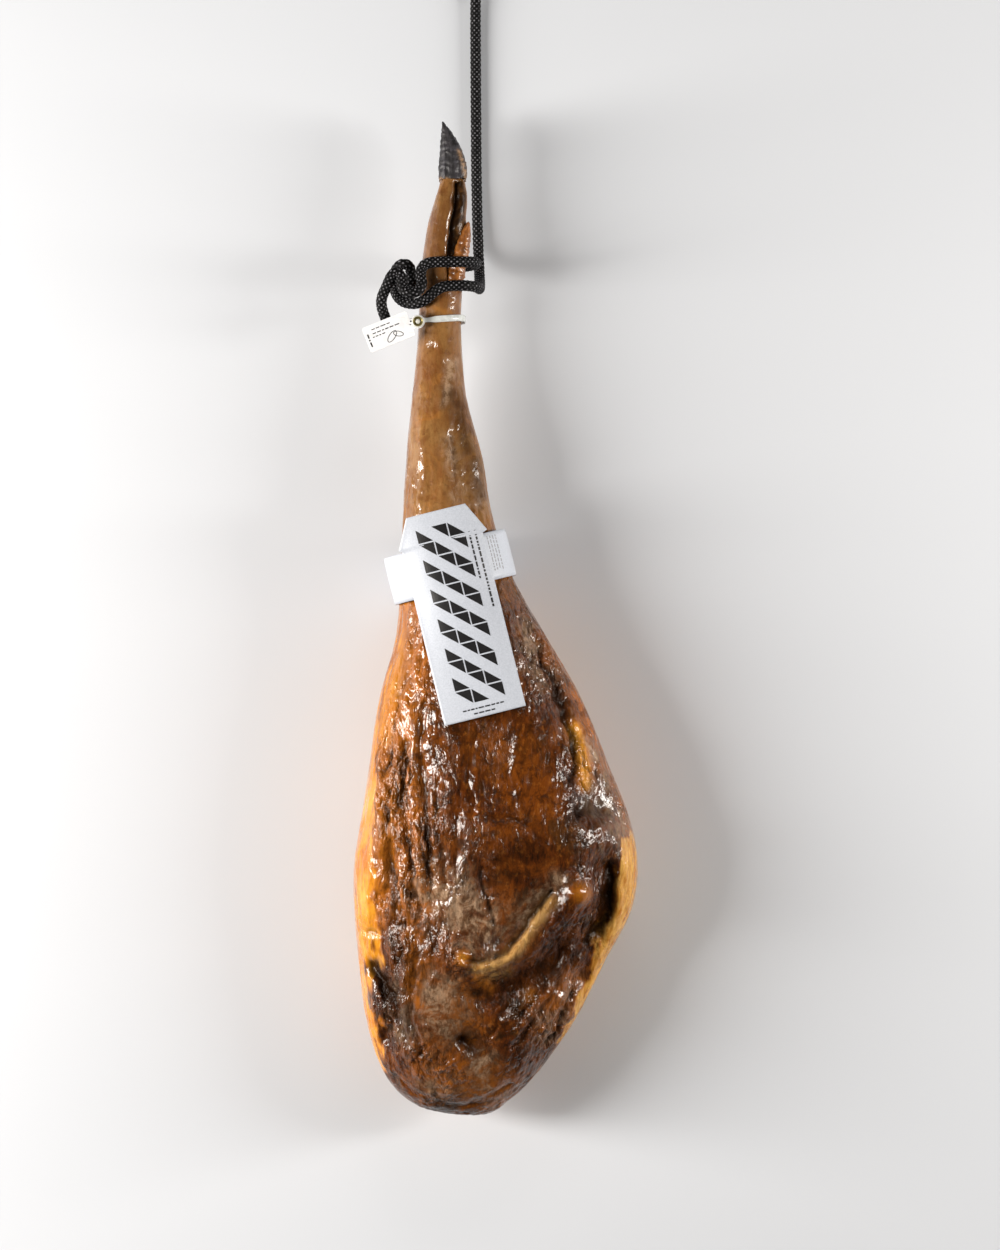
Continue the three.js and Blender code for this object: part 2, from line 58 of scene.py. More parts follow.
# Rope: its route in metres, from the loop at the far end to the free end beside the knot
ROPE_RADIUS = 0.0045
ROPE_ROUTE = [
    (-0.0262, 0.514, 0.0066), (-0.0262, 0.532, 0.0066), (-0.0264, 0.549, 0.0066), (-0.033, 0.566, 0.0054),
    (-0.0354, 0.584, 0.0048), (-0.028, 0.5995, 0.0048), (-0.012, 0.5995, 0.0048), (-0.005, 0.584, 0.0048),
    (-0.0086, 0.566, 0.0054), (-0.016, 0.549, 0.0066), (-0.0163, 0.532, 0.0066), (-0.0163, 0.514, 0.0066),
    (-0.0164, 0.492, 0.0052), (-0.0163, 0.46, 0.0048), (-0.016, 0.41, 0.0048), (-0.0156, 0.36, 0.0048),
    (-0.0148, 0.322, 0.0048), (-0.014, 0.3, 0.0066), (-0.0132, 0.283, 0.015), (-0.0128, 0.272, 0.031),
    (-0.013, 0.267, 0.048), (-0.0138, 0.266, 0.065), (-0.0175, 0.266, 0.079), (-0.0255, 0.266, 0.0875),
    (-0.035, 0.2656, 0.0896), (-0.0425, 0.2644, 0.09), (-0.049, 0.2606, 0.0888), (-0.055, 0.2556, 0.087),
    (-0.062, 0.2522, 0.0846), (-0.07, 0.2526, 0.08), (-0.0766, 0.2566, 0.073), (-0.0804, 0.2636, 0.068),
    (-0.0816, 0.272, 0.069), (-0.0796, 0.2794, 0.074), (-0.075, 0.2836, 0.078), (-0.07, 0.283, 0.0786),
    (-0.0674, 0.2776, 0.0762), (-0.0676, 0.271, 0.0724), (-0.0672, 0.2676, 0.0636), (-0.0638, 0.2724, 0.049),
    (-0.057, 0.277, 0.0402), (-0.0435, 0.2815, 0.038), (-0.028, 0.2848, 0.0404), (-0.0186, 0.2858, 0.0495),
    (-0.0156, 0.2859, 0.064), (-0.0184, 0.2856, 0.0784), (-0.029, 0.2848, 0.088), (-0.042, 0.2846, 0.0896),
    (-0.0526, 0.284, 0.0886), (-0.0578, 0.281, 0.0874), (-0.0594, 0.2744, 0.0886), (-0.0586, 0.267, 0.0918),
    (-0.0614, 0.2614, 0.094), (-0.0674, 0.2594, 0.0946), (-0.0728, 0.262, 0.093), (-0.0746, 0.268, 0.0912),
    (-0.0754, 0.2734, 0.0906), (-0.0782, 0.2764, 0.0902), (-0.082, 0.2742, 0.09), (-0.0846, 0.2694, 0.0897),
    (-0.0872, 0.2636, 0.089), (-0.0898, 0.2578, 0.088), (-0.0908, 0.2528, 0.0864), (-0.0898, 0.2464, 0.0838),
    (-0.0874, 0.24, 0.082), (-0.0846, 0.2336, 0.0818),
]
ROPE_SIDES = 42
BRAID_STRANDS = 7
BRAID_PITCH = 0.028
BRAID_RELIEF = 0.0008
ROPE_STEP = BRAID_PITCH / ROPE_SIDES
WHIPPING_TURNS = 15
WHIPPING_BORE = 0.0054
WHIPPING_GROOVE = 0.0006

# Label, in millimetres on its own axes: u across the band and v up along the panel
LABEL_CENTRE = (-36.4, 42.4)
LABEL_TILT = math.radians(14)
PANEL_SIDES = (-33.6, 32.0)
PANEL_ENDS = (-121.0, 45.0)
SHOULDER_AT = 21.0
SHOULDER_HALF = 36.0
TOP_HALF = 24.0
CARD = 0.5
BAND_HALF = 50.4
BAND_MIDDLE = 61.5
BAND_RISE = 52.5
BAND_WIDTH = 38.0
BAND_SQUARENESS = 2.4

# Seal: the strap's closed route across the shank in (x, z), and the plate that hangs from it
STRAP_ROUTE = [
    (-24.6, 63.5), (-30, 80), (-44.7, 86), (-56, 86.2), (-65.6, 85.2), (-68, 81.6), (-65.8, 74),
    (-64.6, 63.5), (-59.5, 47.5), (-44.7, 41.4), (-30, 47.5),
]
STRAP_Y = 239.6
STRAP_TURN_X = -44.7
STRAP_WIDTH = 5.2
STRAP_THICKNESS = 1.2
STRAP_TILT = math.radians(5)
PLATE_AT = (-85.0, 229.0, 87.6)
PLATE_TILT = math.radians(21.8)
PLATE_THICKNESS = 2.0

# Dewclaws: base and tip on the back of the shank, and the heights of their axes
DEWCLAW_BASE = (-34.0, 268.0)
DEWCLAW_TIP = (-21.4, 318.4)
DEWCLAW_RADIUS = 6.8
DEWCLAW_LEVELS = {"dewclaw_inner": 75.0, "dewclaw_outer": 56.0}
DEWCLAW_PROFILE = [
    (1.0, 0.02), (1.02, 0.15), (0.98, 0.35), (0.86, 0.58), (0.66, 0.77), (0.44, 0.89), (0.22, 0.97),
    (0.0, 1.0),
]

# Ham: the mesh is fine above and coarser on the side that it lies on
COARSE_VOXEL = 0.0032
SMOOTH_ROUNDS = 4


def ramp(low, high, value):
    share = np.clip((value - low) / (high - low), 0, 1)
    return share * share * (3 - 2 * share)


def bell(distance, width):
    return np.exp(-((distance / width) ** 2))


def route_line(points, per_leg):
    """A smooth line through the given points, which bends evenly whatever their spacing."""
    given = np.array(points, float)
    knots = np.vstack([2 * given[0] - given[1], given, 2 * given[-1] - given[-2]])
    line = [given[0]]
    for i in range(1, len(knots) - 2):
        p0, p1, p2, p3 = knots[i - 1:i + 3]
        d0, d1, d2 = (max(np.linalg.norm(b - a) ** 0.5, 1e-6) for a, b in ((p0, p1), (p1, p2), (p2, p3)))
        t1 = ((p1 - p0) / d0 - (p2 - p0) / (d0 + d1) + (p2 - p1) / d1) * d1
        t2 = ((p2 - p1) / d1 - (p3 - p1) / (d1 + d2) + (p3 - p2) / d2) * d1
        for step in range(1, per_leg + 1):
            t = step / per_leg
            cubic = (2 * (p1 - p2) + t1 + t2) * t ** 3 + (3 * (p2 - p1) - 2 * t1 - t2) * t ** 2
            line.append(p1 + t1 * t + cubic)
    return np.array(line)


def evenly(line, step):
    """The same line with its points a step apart, and its length."""
    legs = np.linalg.norm(np.diff(line, axis=0), axis=1)
    reached = np.concatenate([[0], np.cumsum(legs)])
    wanted = np.linspace(0, reached[-1], int(round(reached[-1] / step)) + 1)
    return np.column_stack([np.interp(wanted, reached, line[:, i]) for i in range(3)]), reached[-1]


def path_distance(x, y, path):
    """How far each place lies from a smooth path, all in millimetres."""
    if len(path) == 1:
        return np.hypot(x - path[0][0], y - path[0][1])
    line = route_line([(px, py, 0) for px, py in path], 5)[:, :2]
    nearest = np.full(len(x), 1e9)
    for (ax, ay), (bx, by) in zip(line[:-1], line[1:]):
        length2 = max((bx - ax) ** 2 + (by - ay) ** 2, 1e-9)
        t = np.clip(((x - ax) * (bx - ax) + (y - ay) * (by - ay)) / length2, 0, 1)
        nearest = np.minimum(nearest, np.hypot(x - ax - t * (bx - ax), y - ay - t * (by - ay)))
    return nearest


def fractal(x, y, z, octaves=3):
    return np.array([noise.fractal(p, 0.9, 2.1, octaves) for p in zip(x, y, z)])


def ridged(x, y, z, octaves=3):
    return np.array([noise.ridged_multi_fractal(p, 1.0, 2.1, octaves, 1.0, 1.8) for p in zip(x, y, z)])


def cell_edges(x, y, z):
    """Nearly 0 on the borders between the cells of an uneven pattern, and more inside them."""
    near = np.array([noise.voronoi(p)[0][:2] for p in zip(x, y, z)])
    return near[:, 1] - near[:, 0]


# Objects and meshes

def add_object(name, mesh):
    piece = bpy.data.objects.new(name, mesh)
    bpy.context.scene.collection.objects.link(piece)
    return piece


def from_bmesh(name, bm, smooth=True):
    mesh = bpy.data.meshes.new(name)
    bm.to_mesh(mesh)
    bm.free()
    mesh.polygons.foreach_set("use_smooth", [smooth] * len(mesh.polygons))
    return add_object(name, mesh)


def node_bmesh(node):
    """A merged copy of a CAD node's mesh."""
    bm = bmesh.new()
    bm.from_mesh(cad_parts[node].data)
    bmesh.ops.remove_doubles(bm, verts=bm.verts, dist=1e-6)
    return bm


def remeshed(bm, voxel):
    """The same solid as an even mesh of small squares."""
    shape = from_bmesh("remesh_source", bm)
    cells = shape.modifiers.new("cells", "REMESH")
    cells.mode = "VOXEL"
    cells.voxel_size = voxel
    graph = bpy.context.evaluated_depsgraph_get()
    mesh = bpy.data.meshes.new_from_object(shape.evaluated_get(graph))
    bpy.data.objects.remove(shape)
    even = bmesh.new()
    even.from_mesh(mesh)
    bpy.data.meshes.remove(mesh)
    return even


def smoothed(bm, rounds):
    for _ in range(rounds):
        bmesh.ops.smooth_vert(
            bm, verts=bm.verts, factor=0.5, use_axis_x=True, use_axis_y=True, use_axis_z=True,
        )


def slice_across(bm, axis, places):
    """Cuts new edges where the planes across an axis pass through."""
    normal = [0, 0, 0]
    normal[axis] = 1
    for place in places:
        parts = bm.verts[:] + bm.edges[:] + bm.faces[:]
        point = [0, 0, 0]
        point[axis] = place
        bmesh.ops.bisect_plane(bm, geom=parts, dist=1e-7, plane_co=point, plane_no=normal)


def round_edges(bm, width, segments=2, sharper=0.5):
    edges = [edge for edge in bm.edges if edge.is_manifold and edge.calc_face_angle() > sharper]
    bmesh.ops.bevel(
        bm, geom=edges, offset=width, affect="EDGES", segments=segments, profile=0.5, material=-1,
        clamp_overlap=True,
    )


def finish_piece(piece, material, slot, *nodes):
    piece.data.materials.clear()
    piece.data.materials.append(material)
    if nodes:
        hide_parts(*nodes)
    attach(piece, BODY)
    return piece


def vertex_vectors(mesh, kind):
    values = np.empty(len(mesh.vertices) * 3)
    mesh.vertices.foreach_get(kind, values)
    return values.reshape(-1, 3)


def set_attribute(mesh, name, values):
    layer = mesh.attributes.new(name, "FLOAT", "POINT")
    layer.data.foreach_set("value", np.ascontiguousarray(values, dtype=np.float32))


# Material nodes

class Finish:
    """A material with one Principled shader, and short ways to add the nodes that feed it."""

    def __init__(self, name, roughness=0.5, specular=0.5, coat=0.0, coat_roughness=0.1):
        self.material = bpy.data.materials.new(name)
        self.material.use_nodes = True
        self.tree = self.material.node_tree
        self.shader = self.tree.nodes["Principled BSDF"]
        self.shader.inputs["Roughness"].default_value = roughness
        self.shader.inputs["Specular IOR Level"].default_value = specular
        self.shader.inputs["Coat Weight"].default_value = coat
        self.shader.inputs["Coat Roughness"].default_value = coat_roughness
        self.place = self.add("ShaderNodeTexCoord").outputs["Object"]

    def add(self, kind, **settings):
        node = self.tree.nodes.new(kind)
        for key, value in settings.items():
            setattr(node, key, value)
        return node

    def link(self, source, target):
        if isinstance(source, bpy.types.NodeSocket):
            self.tree.links.new(source, target)
        else:
            target.default_value = source

    def attribute(self, name):
        return self.add("ShaderNodeAttribute", attribute_name=name).outputs["Fac"]

    def stretched(self, scale, turn=0.0, source=None):
        node = self.add("ShaderNodeMapping")
        self.link(source or self.place, node.inputs["Vector"])
        node.inputs["Rotation"].default_value = (0, 0, turn)
        node.inputs["Scale"].default_value = scale
        return node.outputs["Vector"]

    def noise(self, scale, detail=3.0, rough=0.55, vector=None, distortion=0.0):
        node = self.add("ShaderNodeTexNoise")
        self.link(vector or self.place, node.inputs["Vector"])
        node.inputs["Scale"].default_value = scale
        node.inputs["Detail"].default_value = detail
        node.inputs["Roughness"].default_value = rough
        node.inputs["Distortion"].default_value = distortion
        return node.outputs["Fac"]

    def puffs(self, scale, detail, vector):
        """An uneven pattern that rises from 0 on its thin, winding creases to 1 between them."""
        wave = self.noise(scale, detail, 0.5, vector, 0.6)
        return self.math("MULTIPLY", self.math("ABSOLUTE", self.math("SUBTRACT", wave, 0.5)), 7.0, True)

    def cells(self, scale, vector):
        """How far each place lies from the borders of an uneven pattern of cells."""
        node = self.add("ShaderNodeTexVoronoi", feature="DISTANCE_TO_EDGE")
        self.link(vector, node.inputs["Vector"])
        node.inputs["Scale"].default_value = scale
        return node.outputs["Distance"]

    def warped(self, vector, scale, amount):
        """The vector moved about by a noise, so that patterns lose their straight lines."""
        drift = self.add("ShaderNodeTexNoise")
        self.link(vector, drift.inputs["Vector"])
        drift.inputs["Scale"].default_value = scale
        drift.inputs["Detail"].default_value = 3.0
        moved = self.add("ShaderNodeMix", data_type="RGBA", blend_type="LINEAR_LIGHT")
        moved.inputs[0].default_value = amount
        self.link(vector, moved.inputs[6])
        self.link(drift.outputs["Color"], moved.inputs[7])
        return moved.outputs[2]

    def math(self, kind, a, b=0.0, clamp=False):
        node = self.add("ShaderNodeMath", operation=kind, use_clamp=clamp)
        self.link(a, node.inputs[0])
        self.link(b, node.inputs[1])
        return node.outputs[0]

    def span(self, value, low, high, to_low=0.0, to_high=1.0):
        node = self.add("ShaderNodeMapRange", interpolation_type="SMOOTHSTEP")
        self.link(value, node.inputs["Value"])
        node.inputs["From Min"].default_value = low
        node.inputs["From Max"].default_value = high
        node.inputs["To Min"].default_value = to_low
        node.inputs["To Max"].default_value = to_high
        return node.outputs["Result"]

    def mix(self, share, a, b, blend="MIX"):
        node = self.add("ShaderNodeMix", data_type="RGBA", blend_type=blend)
        self.link(share, node.inputs[0])
        for source, socket in ((a, node.inputs[6]), (b, node.inputs[7])):
            self.link((*source, 1.0) if isinstance(source, tuple) else source, socket)
        return node.outputs[2]

    def bump(self, height, distance, strength=1.0, normal=None):
        node = self.add("ShaderNodeBump")
        node.inputs["Strength"].default_value = strength
        node.inputs["Distance"].default_value = distance
        self.link(height, node.inputs["Height"])
        if normal is not None:
            self.link(normal, node.inputs["Normal"])
        return node.outputs["Normal"]

    def colour(self, source):
        self.link((*source, 1.0) if isinstance(source, tuple) else source, self.shader.inputs["Base Color"])

    def set(self, name, source):
        self.link(source, self.shader.inputs[name])


def srgb(red, green, blue):
    """A colour given as it looks on a screen, 0 to 255, as the linear values that a shader takes."""
    def linear(value):
        share = value / 255
        return share / 12.92 if share <= 0.04045 else ((share + 0.055) / 1.055) ** 2.4
    return linear(red), linear(green), linear(blue)


# The camera and the cord come first.

def add_camera():
    data = bpy.data.cameras.new("camera")
    data.sensor_fit = "VERTICAL"
    data.sensor_height = SENSOR
    data.lens = SENSOR * CAMERA_DISTANCE / FRAME_HEIGHT
    data.clip_end = 50
    camera = bpy.data.objects.new("camera", data)
    camera.location = (*CAMERA_AT, FOCUS_LEVEL + CAMERA_DISTANCE)
    bpy.context.scene.collection.objects.link(camera)
    bpy.context.scene.camera = camera


def sweep(line, side, up, section, along):
    """A tube round a line: a section point is its way along side and along up.
    Its UV map holds the share of the way round and the length along."""
    rows, around = section.shape[:2]
    bm = bmesh.new()
    weave = bm.loops.layers.uv.new("weave")
    bmesh.ops.create_grid(bm, x_segments=around, y_segments=rows - 1, size=0.5)
    for face in bm.faces:
        for loop in face.loops:
            row = int(round((loop.vert.co.y + 0.5) * (rows - 1)))
            loop[weave].uv = (loop.vert.co.x + 0.5, along[row])
    for vert in bm.verts:
        i = int(round((vert.co.x + 0.5) * around)) % around
        row = int(round((vert.co.y + 0.5) * (rows - 1)))
        across, rise = section[row, i]
        vert.co = Vector(line[row] + across * side[row] + rise * up[row])
    bmesh.ops.remove_doubles(bm, verts=bm.verts, dist=1e-7)
    bmesh.ops.holes_fill(bm, edges=[edge for edge in bm.edges if edge.is_boundary], sides=0)
    bmesh.ops.recalc_face_normals(bm, faces=bm.faces)
    return bm


def rope_frames(line):
    """Across and up directions along the line that turn as little as they can."""
    along = np.gradient(line, axis=0)
    along /= np.linalg.norm(along, axis=1)[:, None]
    side = np.cross(along[0], (0, 0, 1.0))
    sides = []
    for direction in along:
        side = side - direction * np.dot(side, direction)
        side /= np.linalg.norm(side)
        sides.append(side)
    sides = np.array(sides)
    return sides, np.cross(along, sides)


def braid_height(p, q):
    """Strands that run both ways round the rope and pass over and under each other."""
    over = (np.floor(p) + np.floor(q)) % 2 == 0
    across = np.where(over, p - np.floor(p), q - np.floor(q))
    length = np.where(over, q - np.floor(q), p - np.floor(p))
    return np.sin(np.pi * across) ** 0.6 * (0.5 + 0.5 * np.sin(np.pi * length))


def rope_material():
    rope = Finish("black_braid", roughness=0.5, specular=0.12)
    weave = rope.add("ShaderNodeUVMap", uv_map="weave").outputs["UV"]
    strands = rope.stretched((BRAID_STRANDS, BRAID_STRANDS / BRAID_PITCH, 1), source=weave)
    slanted = [rope.stretched((7.0, 1.2, 1.0), turn, strands) for turn in (math.pi / 4, -math.pi / 4)]
    threads = rope.math("MAXIMUM", *(rope.noise(1.0, 2.0, 0.6, way) for way in slanted))
    fuzz = rope.noise(1400.0, 2.0)
    split = rope.add("ShaderNodeSeparateXYZ")
    rope.link(strands, split.inputs[0])
    waves = [rope.math("COSINE", rope.math("MULTIPLY", split.outputs[i], 2 * math.pi)) for i in (0, 1)]
    crown = rope.math("MULTIPLY", rope.math("ABSOLUTE", rope.math("SUBTRACT", *waves)), 0.5)
    # Painted highlight: pale spots on the crowns of the strands stand in for the glints of the lamps
    uneven = rope.span(rope.noise(330.0, 2.0), 0.4, 0.6, 0.25, 1.0)
    painted_glint = rope.math("MULTIPLY", rope.span(crown, 0.6, 0.95), uneven)
    # Painted shade: the gaps between the strands are darker, with the threads' own tone on top
    shade = rope.math("MULTIPLY", rope.span(crown, 0.1, 0.6), rope.span(threads, 0.4, 0.75, 0.4, 1.0))
    shade = rope.math("MULTIPLY", shade, rope.span(fuzz, 0.3, 0.7, 0.6, 1.2))
    black = rope.mix(shade, srgb(1, 1, 1), srgb(15, 15, 17))
    rope.colour(rope.mix(painted_glint, black, srgb(118, 117, 121)))
    rope.set("Roughness", rope.span(threads, 0.4, 0.75, 0.7, 0.42))
    rope.set("Normal", rope.bump(rope.math("ADD", threads, fuzz), 0.0002, 0.5))
    return rope.material


def add_rope():
    line, length = evenly(route_line(ROPE_ROUTE, 24), ROPE_STEP)
    side, up = rope_frames(line)
    along = np.arange(len(line)) * ROPE_STEP
    turn = np.arange(ROPE_SIDES) / ROPE_SIDES
    ways = [BRAID_STRANDS * (turn[None, :] + way * along[:, None] / BRAID_PITCH) for way in (1, -1)]
    radius = ROPE_RADIUS - BRAID_RELIEF * (1 - braid_height(*ways))
    angle = 2 * math.pi * turn
    section = np.stack([radius * np.cos(angle), radius * np.sin(angle)], axis=-1)
    piece = from_bmesh("hanging_rope", sweep(line, side, up, section, along))
    finish_piece(piece, rope_material(), "rope", "rope_eye", "rope_lead", "rope_hitch")
    return piece, line, length


def whipping_material():
    twine = Finish("black_twine", roughness=0.6)
    turns = twine.add("ShaderNodeTexWave", wave_type="BANDS", bands_direction="Y", wave_profile="SIN")
    turns.inputs["Scale"].default_value = 210.0
    turns.inputs["Distortion"].default_value = 0.8
    twine.link(twine.place, turns.inputs["Vector"])
    fibres = twine.noise(1500.0, 2.0)
    shade = twine.math("MULTIPLY", turns.outputs["Fac"], twine.span(fibres, 0.3, 0.7, 0.5, 1.1))
    twine.colour(twine.mix(shade, srgb(12, 12, 13), srgb(54, 54, 58)))
    twine.set("Normal", twine.bump(fibres, 0.0002, 0.5))
    return twine.material


def add_whipping():
    """Turns of twine round both runs of the rope, as rings that touch."""
    low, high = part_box("rope_ferrule")
    turn = (high.y - low.y) / WHIPPING_TURNS
    half = (high.x - low.x - (high.z - low.z)) / 2
    middle = (low + high) / 2
    bm = node_bmesh("rope_ferrule")
    slice_across(bm, 1, [low.y + turn * i / 4 for i in range(1, WHIPPING_TURNS * 4)])
    for vert in bm.verts:
        core = Vector((middle.x + max(-half, min(half, vert.co.x - middle.x)), vert.co.y, middle.z))
        away = vert.co - core
        if away.length > WHIPPING_BORE:
            groove = WHIPPING_GROOVE * abs(math.cos(math.pi * (vert.co.y - low.y) / turn)) ** 3
            vert.co = core + away.normalized() * (away.length - groove)
    piece = from_bmesh("rope_whipping", bm)
    return finish_piece(piece, whipping_material(), "whipping", "rope_ferrule")


add_camera()
rope, rope_line, rope_length = add_rope()
whipping = add_whipping()


# Label

def square_rise(across, squareness):
    return np.maximum(0, 1 - np.abs(across) ** squareness) ** (1 / squareness)


def label_point(u, v):
    """Where a place of the label lies over the ham, in millimetres."""
    turned = Matrix.Rotation(LABEL_TILT, 2) @ Vector((u, v))
    return turned.x + LABEL_CENTRE[0], turned.y + LABEL_CENTRE[1]


def panel_sides(v):
    """The panel's left and right edge: above the band its corners are cut back."""
    if v <= SHOULDER_AT:
        return PANEL_SIDES
    half = SHOULDER_HALF + (TOP_HALF - SHOULDER_HALF) * (v - SHOULDER_AT) / (PANEL_ENDS[1] - SHOULDER_AT)
    return -half, half


class PanelSurface:
    """The height of the label's face over each place of the panel, read once from the solid."""

    COLUMNS = 34
    ROWS = 84
    INSET = 1.5
    ROUNDS = 10

    def __init__(self):
        bm = node_bmesh("label")
        tree = BVHTree.FromBMesh(bm)
        bm.free()
        self.v = np.linspace(*PANEL_ENDS, self.ROWS)
        self.share = np.linspace(0, 1, self.COLUMNS)
        heights = np.empty((self.ROWS, self.COLUMNS))
        for row, v in enumerate(self.v):
            inner_v = float(np.clip(v, PANEL_ENDS[0] + self.INSET, PANEL_ENDS[1] - self.INSET))
            left, right = panel_sides(inner_v)
            for column, share in enumerate(self.share):
                inset = self.INSET * (3 if inner_v > SHOULDER_AT else 1)
                u = left + inset + (right - left - 2 * inset) * share
                x, y = label_point(u, inner_v)
                hit = tree.ray_cast(Vector((x * MM, y * MM, 1)), Vector((0, 0, -1)))
                heights[row, column] = hit[0].z / MM
        for _ in range(self.ROUNDS):
            padded = np.pad(heights, 1, mode="edge")
            around = padded[:-2, 1:-1] + padded[2:, 1:-1] + padded[1:-1, :-2] + padded[1:-1, 2:]
            heights = around / 8 + heights / 2
        self.heights = heights - 0.15

    def at(self, u, v):
        left, right = panel_sides(v)
        up = (v - PANEL_ENDS[0]) / (PANEL_ENDS[1] - PANEL_ENDS[0])
        row = np.clip(up * (self.ROWS - 1), 0, self.ROWS - 1.001)
        column = np.clip((u - left) / (right - left) * (self.COLUMNS - 1), 0, self.COLUMNS - 1.001)
        i, j = int(row), int(column)
        a, b = row - i, column - j
        near = self.heights[i:i + 2, j:j + 2]
        low, high = (1 - b) * near[:, 0] + b * near[:, 1]
        return float((1 - a) * low + a * high)


panel_surface = PanelSurface()


def card_material():
    card = Finish("coated_card", roughness=0.42, specular=0.45)
    fibre = card.noise(900.0, 3.0)
    wave = card.noise(26.0, 2.0)
    card.colour(card.mix(card.span(fibre, 0.3, 0.7), srgb(181, 187, 197), srgb(195, 200, 210)))
    card.set("Roughness", card.span(fibre, 0.3, 0.7, 0.36, 0.5))
    card.set("Normal", card.bump(fibre, 0.0001, 0.25, card.bump(wave, 0.0012, 0.3)))
    return card.material


def ink_material():
    ink = Finish("black_ink", roughness=0.35)
    rub = ink.noise(1300.0, 3.0)
    ink.colour(ink.mix(ink.span(rub, 0.62, 0.8), srgb(22, 21, 23), srgb(70, 70, 74)))
    ink.set("Roughness", ink.span(rub, 0.3, 0.7, 0.3, 0.45))
    return ink.material


def grey_ink_material():
    ink = Finish("grey_ink", roughness=0.5)
    ink.colour(ink.mix(ink.noise(1300.0, 2.0), srgb(120, 121, 126), srgb(158, 159, 164)))
    return ink.material


def thicken(bm, thickness):
    bmesh.ops.recalc_face_normals(bm, faces=bm.faces)
    bmesh.ops.solidify(bm, geom=bm.verts[:] + bm.edges[:] + bm.faces[:], thickness=thickness)


def add_panel(card):
    columns, rows = 40, 104
    bm = bmesh.new()
    bmesh.ops.create_grid(bm, x_segments=columns, y_segments=rows, size=0.5)
    for vert in bm.verts:
        v = PANEL_ENDS[0] + (PANEL_ENDS[1] - PANEL_ENDS[0]) * (vert.co.y + 0.5)
        left, right = panel_sides(v)
        u = left + (right - left) * (vert.co.x + 0.5)
        x, y = label_point(u, v)
        vert.co = Vector((x, y, panel_surface.at(u, v))) * MM
    thicken(bm, CARD * MM)
    piece = from_bmesh("label_panel", bm)
    return finish_piece(piece, card, "card", "label")


def band_rise(turn):
    across = math.cos(turn)
    rise = math.copysign(square_rise(across, BAND_SQUARENESS), math.sin(turn))
    return BAND_HALF * across, BAND_MIDDLE + BAND_RISE * rise


def add_band(card):
    """The closed band round the neck, which bulges a little along its middle."""
    around, across = 150, 10
    bm = bmesh.new()
    bmesh.ops.create_grid(bm, x_segments=around, y_segments=across, size=0.5)
    for vert in bm.verts:
        u, z = band_rise(2 * math.pi * (vert.co.x + 0.5))
        pull = 1 - 0.006 * (2 * vert.co.y) ** 2
        x, y = label_point(u * pull, vert.co.y * BAND_WIDTH)
        vert.co = Vector((x, y, BAND_MIDDLE + (z - BAND_MIDDLE) * pull)) * MM
    bmesh.ops.remove_doubles(bm, verts=bm.verts, dist=1e-6)
    thicken(bm, CARD * MM)
    piece = from_bmesh("label_band", bm)
    return finish_piece(piece, card, "card", "label")


INK_LIFT = 0.1
PRINT_CELL = 2.2
MOTIF_LEFT = -19.2
MOTIF_RIGHT = 18.4
MOTIF_TOP = 33.6
MOTIF_BOTTOM = -108.8
MOTIF_COLUMNS = 3
MOTIF_ROWS = 12
MOTIF_GAP = 1.1


def flat_shape(bm, corners):
    bm.faces.new([bm.verts.new((u, v, 0)) for u, v in corners])


def bar(u0, v0, u1, v1):
    return [(u0, v0), (u1, v0), (u1, v1), (u0, v1)]


def arc(u, v, radius, start, end, steps=10):
    angles = [math.radians(start + (end - start) * i / steps) for i in range(steps + 1)]
    return [(u + radius * math.cos(a), v + radius * math.sin(a)) for a in angles]


def motifs():
    """A column of black triangles in a regular pattern, about as dense as bold print."""
    width = (MOTIF_RIGHT - MOTIF_LEFT + MOTIF_GAP) / MOTIF_COLUMNS
    height = (MOTIF_TOP - MOTIF_BOTTOM + MOTIF_GAP) / MOTIF_ROWS
    shapes = []
    for row in range(MOTIF_ROWS):
        low = MOTIF_BOTTOM + row * height
        top = low + height - MOTIF_GAP
        for column in range(MOTIF_COLUMNS):
            left = MOTIF_LEFT + column * width
            right = left + width - MOTIF_GAP
            if (row + column) % 2:
                shapes.append([(left, low), (right, low), (left, top)])
            else:
                shapes.append([(right, low), (right, top), (left, top)])
    return shapes


def panel_place(u, v):
    x, y = label_point(u, v)
    return Vector((x, y, panel_surface.at(u, v) + INK_LIFT)) * MM


def band_place(u, v):
    pull = 1 - 0.006 * (2 * v / BAND_WIDTH) ** 2
    x, y = label_point(u * pull, v)
    rise = BAND_RISE * float(square_rise(u / BAND_HALF, BAND_SQUARENESS)) * pull
    return Vector((x, y, BAND_MIDDLE + rise + INK_LIFT)) * MM


def dashes(rng, start, end, level, height, upright):
    """A row of short strokes of uneven length, as fine print looks from a step away."""
    place = start
    row = []
    while place < end - 1:
        length = min(rng.uniform(1.2, 4.6), end - place)
        if upright:
            row.append(bar(level, -place - length, level + height, -place))
        else:
            row.append(bar(place, level, place + length, level + height))
        place += length + 0.9
    return row


def add_print(name, shapes, place, material):
    bm = bmesh.new()
    for corners in shapes:
        flat_shape(bm, corners)
    for axis in (0, 1):
        reach = [vert.co[axis] for vert in bm.verts]
        slice_across(bm, axis, np.arange(min(reach) + PRINT_CELL, max(reach), PRINT_CELL))
    for vert in bm.verts:
        vert.co = place(vert.co.x, vert.co.y)
    thicken(bm, INK_LIFT * 1.6 * MM)
    return finish_piece(from_bmesh(name, bm, smooth=False), material, "card")


